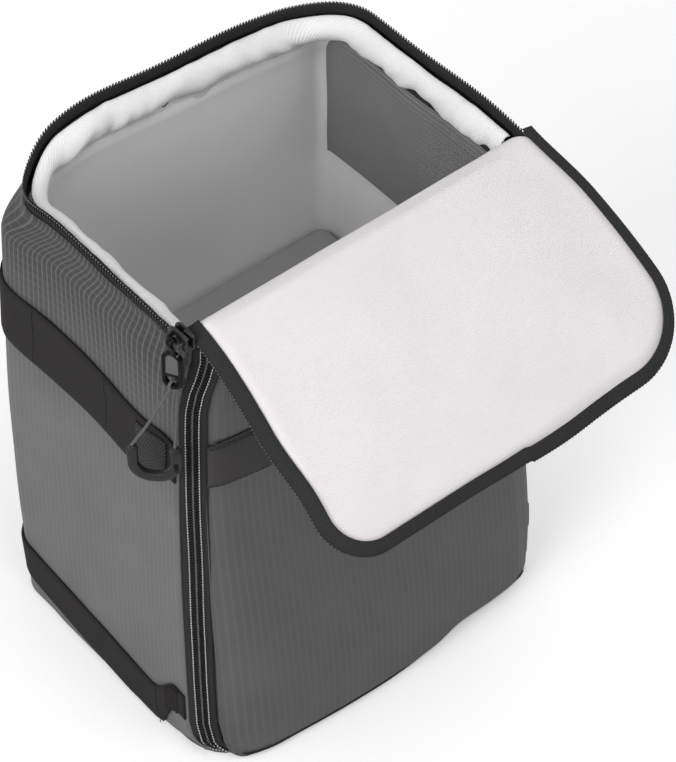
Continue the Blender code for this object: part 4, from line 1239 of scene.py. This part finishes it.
def curve_through(points, steps=6):
    """Points on a smooth curve through the given points."""
    made = []
    points = [Vector(p) for p in points]
    padded = [2 * points[0] - points[1]] + points + [2 * points[-1] - points[-2]]
    for a, b, c, d in zip(padded, padded[1:], padded[2:], padded[3:]):
        for i in range(steps):
            t = i / steps
            made.append((2 * b + (c - a) * t + (2 * a - 5 * b + 4 * c - d) * t ** 2
                         + (3 * b - a - 3 * c + d) * t ** 3) / 2)
    made.append(points[-1])
    return made


def make_folds():
    """The cloth of the door's hinge."""
    grid, uvs = [], []
    for z in heights(BEVEL + ZIP_CORNER + 0.003, DOOR_TOP, 0.008):
        near = Vector((DOOR_HALF - 0.001, front_at(DOOR_HALF, z) + 0.0032, z))
        far = Vector((HALF - 0.0006, wall_front(z) + 0.0012, z))
        middle = (near + far) / 2 + Vector((0.0012, -0.0012, 0))
        row = [soft(p) for p in curve_through([near, middle, far], 5)]
        grid.append(row)
        uvs.append([(i * 0.0015, z) for i in range(len(row))])
    made = cloth("door_hinge_cloth", grid, uvs, 0.0010, SHELL, None, ["side_hinge_strip"],
                 "shell_ripstop")
    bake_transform(made)


# Straps, pocket and base

PATCH_START, PATCH_LENGTH = -0.0715, 0.027
UPPER_TACKS, LOWER_TACK = (-0.016, 0.045), -0.0555
RIB_START, RIB_PITCH = -0.0785, 0.0023


def make_strap(name, hides, low, width, climb, lift, start):
    """A strap round three walls; it gives back a way to find places on its two sides."""
    columns = [0.008] + [s for s in shares(1.3) if 0.01 < s < 4.99] + [4.992]
    count = 12

    def strap_z(y, v):
        """The strap sags between its ends, and each end rises to where it is sewn in."""
        end = ease((start - y) / 0.026)
        t = (y - FRONT) / (BACK - FRONT)
        return max(0.0008, low + climb * t + (lift[0] + (lift[1] - lift[0]) * v) * end + width * v)

    def height(s, v):
        y = plan(s, max(0.001, low))[0][1]
        return strap_z(y, v) + drift(nominal_run(s) * 30, 6.0, 2.0) * 0.0005

    def strap_point(v, s):
        puff = 0.0006 * ease(min(v, 1 - v) * width / 0.003)
        puff += drift(nominal_run(s) * 25, v, 3.0) * 0.0003
        return wall_point(s, height(s, v), -0.0017 - puff)

    grid, uvs = lay([j / count for j in range(count + 1)], columns, strap_point,
                    lambda v, s: (nominal_run(s), v * width))
    cloth(name, grid, uvs, 0.0014, WEB, "box", hides, "dark_webbing", flip=True)

    def side_point(y, v, depth, side):
        """A point on one side's stretch of the strap, from its low edge at 0 to its top at 1."""
        z = strap_z(y, v)
        front = wall_front(z)
        t = (y - front) / (BACK - CORNER - front)
        return wall_point(t if side < 0 else 5 - t, z, depth)

    return side_point


def make_straps():
    painted_upper_shade = make_strap("upper_strap_webbing", ["upper_strap"], low=0.2025, width=0.0430, climb=0.0220,
                       lift=(0.0195, 0.006), start=-0.046)
    lower = make_strap("lower_strap_webbing", ["lower_strap"], low=-0.0050, width=0.0318, climb=0.0230,
                       lift=(0.034, 0.0225), start=-0.052)

    def tack(name, path, side):
        stitches(name, [path], THREAD_AND_GAP_SHADOW, "box", lift=(side, 0, 0), slot="dark_webbing",
                 long=0.0022, pitch=0.003, radius=0.0003)

    for side, word in ((-1, "left"), (1, "right")):
        grid, uvs = lay([0.1 + 0.8 * j / 12 for j in range(13)], range(11),
                        lambda v, i: painted_upper_shade(PATCH_START + PATCH_LENGTH * i / 10, v, -0.0036, side),
                        lambda v, i: (PATCH_LENGTH * i / 10, v * 0.0395))
        cloth(f"{word}_strap_patch", grid, uvs, 0.0010, PATCH, "box", (), "dark_webbing", flip=side < 0)
        for k, y in enumerate(UPPER_TACKS):
            tack(f"{word}_strap_tack_{k}", [painted_upper_shade(y + 0.0006 * math.sin(v * 9), v, -0.0024, side)
                                            for v in (0.06 + 0.88 * i / 12 for i in range(13))], side)
        for k in range(6):
            y = RIB_START + RIB_PITCH * k
            points = [lower(y, 0.03 + 0.94 * i / 10, -0.0024, side) for i in range(11)]
            ring_tube(f"{word}_lower_rib_{k}", points, 0.0010, WEB, "box", 8, (), "dark_webbing")
        tack(f"{word}_lower_tack", [lower(LOWER_TACK, 0.05 + 0.9 * i / 8, -0.0024, side) for i in range(9)],
             side)


def make_pocket():
    """The ribbed pocket on the right wall: it runs into the back corner and its top lies in folds."""
    base, top, ends, fold_pitch = 0.222, 0.316, (4.965, 3.72), 0.0042
    columns = [ends[0] + (ends[1] - ends[0]) * i / 64 for i in range(65)]

    def loose(s, z):
        return drift(nominal_run(s) * 26, z * 30, 5.0)

    def panel_point(z, s):
        high = ease((z - top + 0.018) / 0.012)
        fold = math.sin(2 * math.pi * z / fold_pitch + drift(nominal_run(s) * 12, z * 20, 1.0))
        sway = 0.0012 * (0.5 + loose(s, z)) * ease((z - base) / 0.03)
        return wall_point(s, z, WALL + 0.0016 + 0.0006 * fold * high + sway)

    grid, uvs = lay(heights(base, top, 0.0009), columns, panel_point, lambda z, s: (nominal_run(s), z))
    panel = cloth("pocket_rib_cloth_panel", grid, uvs, 0.0010, POCKET, "box", ["pocket_panel"],
                  "ribbed_elastic", flip=True)
    line = [wall_point(s, top + 0.0022 + sway * 0.001, WALL + 0.001 + 0.0012 * (0.5 + sway))
            for s, sway in ((s, loose(s, top)) for s in columns)]
    ring_tube("pocket_hem_cloth", line, 0.0026, TAPE, "box", 10, ["pocket_hem"], "black_tape", 0.5,
              (1, 0, 0))


def base_layer(name, z, thick, set_in, mat, hides, slot, roll=0.0):
    half, corner, back = HALF - set_in, CORNER - set_in, BACK - set_in
    xs = [half * math.sin(math.pi / 2 * (2 * i / 40 - 1)) for i in range(41)]
    grid, uvs = [], []
    for j in range(25):
        t = j / 24
        row = []
        for x in xs:
            over = abs(x) - (half - corner)
            far = back if over < 0 else back - corner + math.sqrt(max(0.0, corner ** 2 - over ** 2))
            blunt = max(0.0, abs(x) - (half - 0.02))
            near = front_at(x, 0) + 0.009 + 0.02 - math.sqrt(max(0.0, 0.02 ** 2 - blunt ** 2))
            y = near + (far - near) * t
            edge = min(half - abs(x), far - y)
            moved = soft((x, y, 0.0)) - Vector((x, y, 0.0))
            row.append(Vector((x + moved.x, y + moved.y, z + roll * (1 - ease(edge / 0.006)))))
        grid.append(row)
        uvs.append([(p.x, p.y) for p in row])
    return cloth(name, grid, uvs, thick, mat, "box", hides, slot)


def make_base():
    base_layer("base_cloth", SKIN, SKIN - 0.0002, 0.0012, SHELL, ["base_panel"], "shell_ripstop", 0.0012)
    base_layer("base_foam", 0.0090, BOARD, 0.004, FOAM, ["base_board"], "grey_foam")
    base_layer("base_lining_cloth", WALL, LINING, 0.008, INNER, ["base_lining"], "grey_knit")


# Dividers


def padded_slab(name, outline, thick, body, hides, place, round_by=0.0045):
    """A padded board of an outline, its edges rolled and its two faces flat."""
    points = [Vector(p) for p in outline]
    count = len(points)
    ways = []
    for i in range(count):
        a = (points[i] - points[i - 1]).normalized()
        b = (points[(i + 1) % count] - points[i]).normalized()
        way = (a + b).normalized()
        ways.append(Vector((-way.y, way.x)) / max(0.5, math.sqrt((1 + a.dot(b)) / 2)))
    verts, steps = [], 7
    for i in range(steps + 1):
        a = math.pi * i / steps - math.pi / 2
        for p, way in zip(points, ways):
            q = p + way * (round_by * (1 - math.cos(a)))
            verts.append(place(q.x, q.y, thick / 2 + thick / 2 * math.sin(a)))
    faces = ring_faces(0, steps + 1, count)
    add(name, verts, faces, DIVIDER, body, None, hides, "divider_knit")


def fine_outline(points, step=0.006):
    made = []
    for a, b in zip(points, points[1:] + points[:1]):
        a, b = Vector(a), Vector(b)
        count = max(1, round((b - a).length / step))
        made += [a.lerp(b, i / count) for i in range(count)]
    return made


def arc(cx, cy, radius, start, end, steps):
    return [(cx + radius * math.cos(start + (end - start) * i / steps),
             cy + radius * math.sin(start + (end - start) * i / steps)) for i in range(steps + 1)]


def make_dividers():
    half = HALF - WALL - GAP - 0.001 - GAP
    back = BACK - WALL - GAP
    front = wall_front(SHELF_Z) + 0.014
    lens = 0.044
    corner = CORNER - WALL
    outline = ([(-half, front), (-lens, front)] + arc(0, front + lens, lens, math.pi, 0, 20)
               + [(lens, front), (half, front)]
               + arc(half - corner, back - corner, corner, 0, math.pi / 2, 6)
               + arc(corner - half, back - corner, corner, math.pi / 2, math.pi, 6))
    padded_slab("shelf_pad", fine_outline(outline), SHELF, "shelf", ["lens_shelf"],
                lambda x, y, h: Vector((x, y, SHELF_Z + h)))
    middle = (front + back) / 2
    for side, node in ((-1, "shelf_left_tab"), (1, "shelf_right_tab")):
        zs = [SHELF_Z - 0.022 + 0.034 * j / 8 for j in range(9)]
        ys = [middle - 0.04 + 0.08 * i / 12 for i in range(13)]
        grid, uvs = lay(zs, ys, lambda z, y: Vector((side * (half + GAP + 0.0009), y, z)),
                        lambda z, y: (y, z))
        cloth(f"{node}_cloth", grid, uvs, 0.0008, HOOK, "shelf", [node], "hook_tape", flip=side < 0)
    back = BACK - WALL - GAP - 0.001 - GAP
    low = WALL + GAP
    outline = [(front, low), (back, low), (back, low + 0.104), (front, low + 0.104)]
    padded_slab("upright_pad", fine_outline(outline), 0.010, "upright", ["upright_divider"],
                lambda y, z, h: Vector((UPRIGHT_X - 0.005 + h, y, z)), 0.004)
    zs = [low + 0.01 + 0.084 * j / 8 for j in range(9)]
    xs = [UPRIGHT_X + 0.018 - 0.036 * i / 8 for i in range(9)]
    grid, uvs = lay(zs, xs, lambda z, x: Vector((x, back + GAP + 0.0009, z)), lambda z, x: (x, z))
    cloth("upright_hook_cloth", grid, uvs, 0.0008, HOOK, "upright", ["upright_back_tab"], "hook_tape")


# Hardware

EDGE_ANGLE, SMOOTH_ANGLE = math.radians(30), math.radians(40)


def start_piece(name):
    made = bpy.context.active_object
    made.name = name
    made.data.name = name
    return made


def clear_choice():
    bpy.ops.object.select_all(action="DESELECT")


def finish_piece(made, mat, bevel=0.0, segments=2):
    """Round the edges, lay the finish on, and smooth what is round."""
    bpy.context.view_layer.objects.active = made
    made.select_set(True)
    bpy.ops.object.transform_apply(location=True, rotation=True, scale=True)
    if bevel:
        mod = made.modifiers.new("soft edges", "BEVEL")
        mod.width = bevel
        mod.segments = segments
        mod.limit_method = "ANGLE"
        mod.angle_limit = EDGE_ANGLE
        bpy.ops.object.modifier_apply(modifier=mod.name)
    bpy.ops.object.shade_smooth_by_angle(angle=SMOOTH_ANGLE)
    made.data.materials.clear()
    made.data.materials.append(mat)
    made.select_set(False)
    return made


def cut_block(name, centre, size, mat, bevel, segments=2):
    clear_choice()
    bpy.ops.mesh.primitive_cube_add(size=1, location=centre)
    made = start_piece(name)
    made.scale = size
    return finish_piece(made, mat, bevel, segments)


def bar(name, centre, radius, half_length, mat, bevel):
    """A round bar along Y."""
    clear_choice()
    bpy.ops.mesh.primitive_cylinder_add(vertices=20, radius=radius, depth=2 * half_length,
                                        location=centre, rotation=(math.pi / 2, 0, 0))
    return finish_piece(start_piece(name), mat, bevel, 2)


def plate(name, outline, low, high, mat, bevel, segments=3):
    """A flat plate in YZ, from an outline that is filled, extruded along X and rounded."""
    clear_choice()
    bpy.ops.mesh.primitive_circle_add(vertices=len(outline), radius=1, fill_type="NGON")
    made = start_piece(name)
    for spot, (y, z) in zip(made.data.vertices, outline):
        spot.co = (low, y, z)
    bpy.ops.object.mode_set(mode="EDIT")
    bpy.ops.mesh.select_all(action="SELECT")
    bpy.ops.mesh.extrude_region_move(TRANSFORM_OT_translate={"value": (high - low, 0, 0)})
    bpy.ops.mesh.select_all(action="SELECT")
    bpy.ops.mesh.normals_make_consistent(inside=False)
    bpy.ops.object.mode_set(mode="OBJECT")
    return finish_piece(made, mat, bevel, segments)


def swept_bar(name, start, size, centre, axis, angle, before, after):
    """A square bar: a face extruded, spun round a centre and extruded again."""
    clear_choice()
    bpy.ops.mesh.primitive_plane_add(size=1, location=start)
    made = start_piece(name)
    made.scale = (size[0], size[1], 1)
    bpy.ops.object.transform_apply(location=True, rotation=True, scale=True)
    bpy.ops.object.mode_set(mode="EDIT")
    bpy.ops.mesh.select_all(action="SELECT")
    bpy.ops.mesh.extrude_region_move(TRANSFORM_OT_translate={"value": before})
    bpy.ops.mesh.spin(steps=18, angle=angle, center=centre, axis=axis, use_auto_merge=False)
    bpy.ops.mesh.extrude_region_move(TRANSFORM_OT_translate={"value": after})
    bpy.ops.mesh.select_all(action="SELECT")
    bpy.ops.mesh.remove_doubles(threshold=0.00001)
    bpy.ops.mesh.normals_make_consistent(inside=False)
    bpy.ops.object.mode_set(mode="OBJECT")
    return made


def make_slider():
    """The slider: two plates, the post and the rails between them, and the bar that holds the tab."""
    x, y, z = SLIDER
    channel, thick = 0.0016, 0.0015
    nose, rear, half, narrow = 0.008, -0.008, 0.006, 0.0043
    outline = ([(y + rear, z - narrow), (y - 0.001, z - half)]
               + arc(y + nose - half, z, half, -math.pi / 2.6, math.pi / 2.6, 8)
               + [(y - 0.001, z + half), (y + rear, z + narrow)])
    pieces = [plate("slider_outer_plate", outline, x - channel - thick, x - channel, STEEL, 0.0006),
              plate("slider_inner_plate", outline, x + channel, x + channel + thick, STEEL, 0.0006),
              cut_block("slider_post", (x, y + 0.0055, z), (2 * channel + thick, 0.0044, 0.0012), STEEL,
                        0.0003)]
    for k, side in enumerate((-1, 1)):
        for j, edge in enumerate((x - channel - thick / 2, x + channel + thick / 2)):
            way = -1 if j else 1
            middle = edge + way * 0.0007, y - 0.004, z + side * 0.0043
            pieces.append(cut_block(f"slider_rail_{k}_{j}", middle, (0.0016, 0.0070, 0.0010), STEEL,
                                    0.0003))
    reach = x - channel - thick - BAR_X
    pieces.append(bar("slider_bar", (BAR_X, y, z), 0.0011, 0.0052, STEEL, 0.0004))
    for k, side in enumerate((-1, 1)):
        pieces.append(cut_block(f"slider_leg_{k}", (BAR_X + reach / 2 + 0.0004, y + side * 0.0050, z),
                                (reach + 0.0022, 0.0016, 0.0034), STEEL, 0.0007, 3))
    for k, piece in enumerate(pieces):
        settle(piece, "slider", ["slider_body"] if k == 0 else (), "black_metal")


def make_tab():
    """The pull tab: an eye on the bar, a moulded loop, the woven strip in it and its foot."""
    y, z = SLIDER.y, SLIDER.z
    half, tube, top, foot = 0.0064, 0.00165, -0.0075, -TAB_LENGTH
    ring = half - tube
    loop = ring_mesh("pull_tab_loop", ring, tube, 40, 14, (0, math.pi / 2, 0))
    for spot in loop.data.vertices:
        spot.co.z += top - ring if spot.co.z > 0 else foot + half
        spot.co.x *= 1.15
        spot.co.y *= 1 - 0.22 * ease((spot.co.z - top + 0.006) / 0.008)
        spot.co += Vector((BAR_X, y, z))
    finish_piece(loop, TABGLOSS)
    eye = ring_mesh("pull_tab_eye", 0.0022, 0.0010, 28, 12, (math.pi / 2, 0, 0))
    for spot in eye.data.vertices:
        spot.co.y *= 2.2
        spot.co += Vector((BAR_X, y, z))
    finish_piece(eye, TABGLOSS)
    neck = cut_block("pull_tab_neck", (BAR_X, y, z + (top - 0.0012) / 2),
                     (0.0026, 0.0046, abs(top) - 0.002), TABGLOSS, 0.0008, 3)
    foot_bar = cut_block("pull_tab_crossbar", (BAR_X, y, z + foot + 0.0108), (0.0034, 0.0098, 0.0026),
                         TABGLOSS, 0.0009, 3)
    strip = cut_block("pull_tab_strip", (BAR_X, y, z + (top + foot + 0.0108) / 2),
                      (0.0028, 0.008, abs(foot + 0.0108 - top)), STRIP, 0.0008, 3)
    for k, piece in enumerate((loop, eye, neck, foot_bar, strip)):
        for spot in piece.data.vertices:
            turn = Matrix.Rotation(math.radians(30) * ease((z - 0.002 - spot.co.z) / 0.010), 3, "Z")
            middle = Vector((BAR_X, y, 0))
            spot.co = middle + turn @ (spot.co - middle)
        settle(piece, "tab", ["pull_tab"] if k == 0 else (), "black_moulding")


def ring_mesh(name, major, minor, around, along, turn):
    clear_choice()
    bpy.ops.mesh.primitive_torus_add(major_radius=major, minor_radius=minor, major_segments=around,
                                     minor_segments=along, location=(0, 0, 0), rotation=turn)
    made = start_piece(name)
    bpy.ops.object.transform_apply(location=True, rotation=True, scale=True)
    return made


def cord_route():
    """The cord from the grip's near end, over the tab's foot and down to the grip's far end."""
    near, way, reach = PULLER
    far = near + way * 2 * reach
    turns = [math.pi * i / 4 for i in range(5)]
    top = [Vector((CORD_SIDE * math.cos(t), 0, CORD_SIDE * math.sin(t) - CORD_SIDE)) for t in turns]
    drop = Vector((0, 0, -0.003))
    past = top[0] + drop, top[-1] + drop
    lift, straight = Vector((0, 0, 2 * GAP)), Vector((0, 0, 0.003))
    inner = [near + lift, near + straight] + [near.lerp(past[0], s) for s in (0.35, 0.75)]
    outer = [far.lerp(past[1], s) for s in (0.75, 0.35)] + [far + straight, far + lift]
    origin = Vector((BAR_X, SLIDER.y, CORD_TOP))
    return [p + origin for p in curve_through(inner + [past[0]] + top + [past[1]] + outer, 4)]


def make_puller():
    """The cord, the moulded grip that it ends in, and the collars where it goes in."""
    route = cord_route()
    fine = curve_through(route, 3)
    made = ring_tube("puller_cord_line", fine, CORD_RADIUS, CORD, "puller", 10, ["puller_cord"],
                     "black_cord")
    near, way, reach = PULLER
    origin = Vector((BAR_X, SLIDER.y, CORD_TOP))
    thick, wall, half, deep = 0.0045, 0.0057, 0.0145, 0.024
    bend = half - wall / 2
    grip = swept_bar("puller_grip_body", (-half + wall / 2, 0, 0), (wall, thick), (0, 0, -deep + half),
                     (0, 1, 0), math.pi, (0, 0, -(deep - half)), (0, 0, deep - half))
    middle = origin + near + way * reach
    turn = Matrix.Rotation(math.atan2(way.y, way.x), 4, "Z")
    for spot in grip.data.vertices:
        co = spot.co.copy()
        if co.z < -deep + half:
            square = 1 + 0.035 * abs(math.sin(2 * math.atan2(co.z + deep - half, co.x)))
            co.x *= square
            co.z = (co.z + deep - half) * square - deep + half
        spot.co = middle + (turn @ co)
    finish_piece(grip, GRIP, 0.0011, 3)
    settle(grip, "puller", ["puller_grip"], "black_moulding")
    slot = cut_block("puller_grip_slot", (0, 0, 0), (0.0024, 0.0008, 0.0062), TABGLOSS, 0.0002)
    face = middle - way * bend + Vector((way.x, -way.y, 0)) * (thick / 2) - Vector((0, 0, 0.012))
    for spot in slot.data.vertices:
        spot.co = face + (turn @ spot.co)
    settle(slot, "puller", (), "black_moulding")
    for k, shift in enumerate((-1, 1)):
        spot = middle + way * reach * shift
        clear_choice()
        bpy.ops.mesh.primitive_cone_add(vertices=24, radius1=0.003, radius2=0.0019, depth=0.0032,
                                        location=spot + Vector((0, 0, 0.0004)))
        collar = finish_piece(start_piece(f"puller_collar_{k}"), GRIP, 0.0004, 2)
        settle(collar, "puller", (), "black_moulding")


def make_stop():
    centre, across, out = rim_place(RIM_LINE[0] - 0.0025)
    made = cut_block("rim_zip_stop", centre - out * 0.0005 + across * 0.0055, (0.0026, 0.0044, 0.0045),
                     STEEL, 0.0006, 3)
    settle(made, "box", ["rim_stop"], "black_metal")


# Light, floor and camera


def area_light(name, place, aim, size, power):
    data = bpy.data.lights.new(name, "AREA")
    data.shape = "RECTANGLE"
    data.size, data.size_y = size
    data.energy = power
    made = bpy.data.objects.new(name, data)
    made.location = place
    made.rotation_euler = (Vector(aim) - Vector(place)).to_track_quat("-Z", "Y").to_euler()
    bpy.context.scene.collection.objects.link(made)


def make_world():
    world = bpy.data.worlds.new("studio")
    bpy.context.scene.world = world
    world.use_nodes = True
    tree = world.node_tree
    tree.nodes.clear()
    out = tree.nodes.new("ShaderNodeOutputWorld")
    back = tree.nodes.new("ShaderNodeBackground")
    path = tree.nodes.new("ShaderNodeLightPath")
    back.inputs["Color"].default_value = (1, 1, 1, 1)
    seen = path.outputs["Is Camera Ray"]
    for ray in ("Is Glossy Ray", "Is Transmission Ray"):
        seen = chain(tree, "MAXIMUM", seen, path.outputs[ray])
    level = tree.nodes.new("ShaderNodeMapRange")
    level.inputs["To Min"].default_value = WORLD_FILL
    level.inputs["To Max"].default_value = 1.0
    tree.links.new(seen, level.inputs["Value"])
    tree.links.new(level.outputs["Result"], back.inputs["Strength"])
    tree.links.new(back.outputs[0], out.inputs[0])


def make_floor():
    """A white floor that keeps the bag's shadow and melts into the background."""
    clear_choice()
    bpy.ops.mesh.primitive_plane_add(size=12.0, location=(0, 0, -0.0005))
    floor = start_piece("studio_floor")
    mat = bpy.data.materials.new("white_floor")
    mat.use_nodes = True
    shader = mat.node_tree.nodes["Principled BSDF"]
    shader.inputs["Base Color"].default_value = FLOOR_SHADE
    shader.inputs["Roughness"].default_value = 0.9
    tree = mat.node_tree
    path = tree.nodes.new("ShaderNodeLightPath")
    glow = chain(tree, "MULTIPLY", path.outputs["Is Camera Ray"], FLOOR_GLOW)
    shader.inputs["Emission Color"].default_value = (1, 1, 1, 1)
    tree.links.new(glow, shader.inputs["Emission Strength"])
    floor.data.materials.append(mat)


def make_camera():
    """The camera at the photo's angle."""
    az, el, roll = math.radians(VIEW_AZIMUTH), math.radians(VIEW_ELEVATION), math.radians(VIEW_ROLL)
    back = Vector((math.sin(az) * math.cos(el), -math.cos(az) * math.cos(el), math.sin(el)))
    right = Vector((0, 0, 1)).cross(back).normalized()
    up = back.cross(right)
    turned = right * math.cos(roll) + up * math.sin(roll)
    up = up * math.cos(roll) - right * math.sin(roll)
    frame_of = Matrix((turned, up, back)).transposed()
    data = bpy.data.cameras.new("photo_camera")
    data.sensor_fit = "HORIZONTAL"
    data.sensor_width = 36
    data.lens = 36 * VIEW_FOCAL / PHOTO_WIDTH
    data.clip_end = 30
    made = bpy.data.objects.new("photo_camera", data)
    made.matrix_world = Matrix.Translation(VIEW_TARGET + back * VIEW_DISTANCE) @ frame_of.to_4x4()
    bpy.context.scene.collection.objects.link(made)
    bpy.context.scene.camera = made


def main():
    make_camera()
    make_puller()
    make_walls()
    make_rim_zip()
    make_stop()
    make_door_zip()
    make_door()
    make_lid()
    make_folds()
    make_straps()
    make_pocket()
    make_base()
    make_dividers()
    make_slider()
    make_tab()
    make_world()
    make_floor()
    area_light("window_left", (-2.0, -0.5, 1.5), (0, 0, 0.15), (1.4, 1.4), 30)
    area_light("window_front", (0.9, -2.0, 1.2), (0, 0, 0.15), (1.2, 1.0), 3)
    area_light("window_top", (0.1, -0.8, 2.4), (0, 0, 0.2), (1.6, 1.6), 20)
    bpy.context.scene.view_settings.view_transform = "Standard"


main()
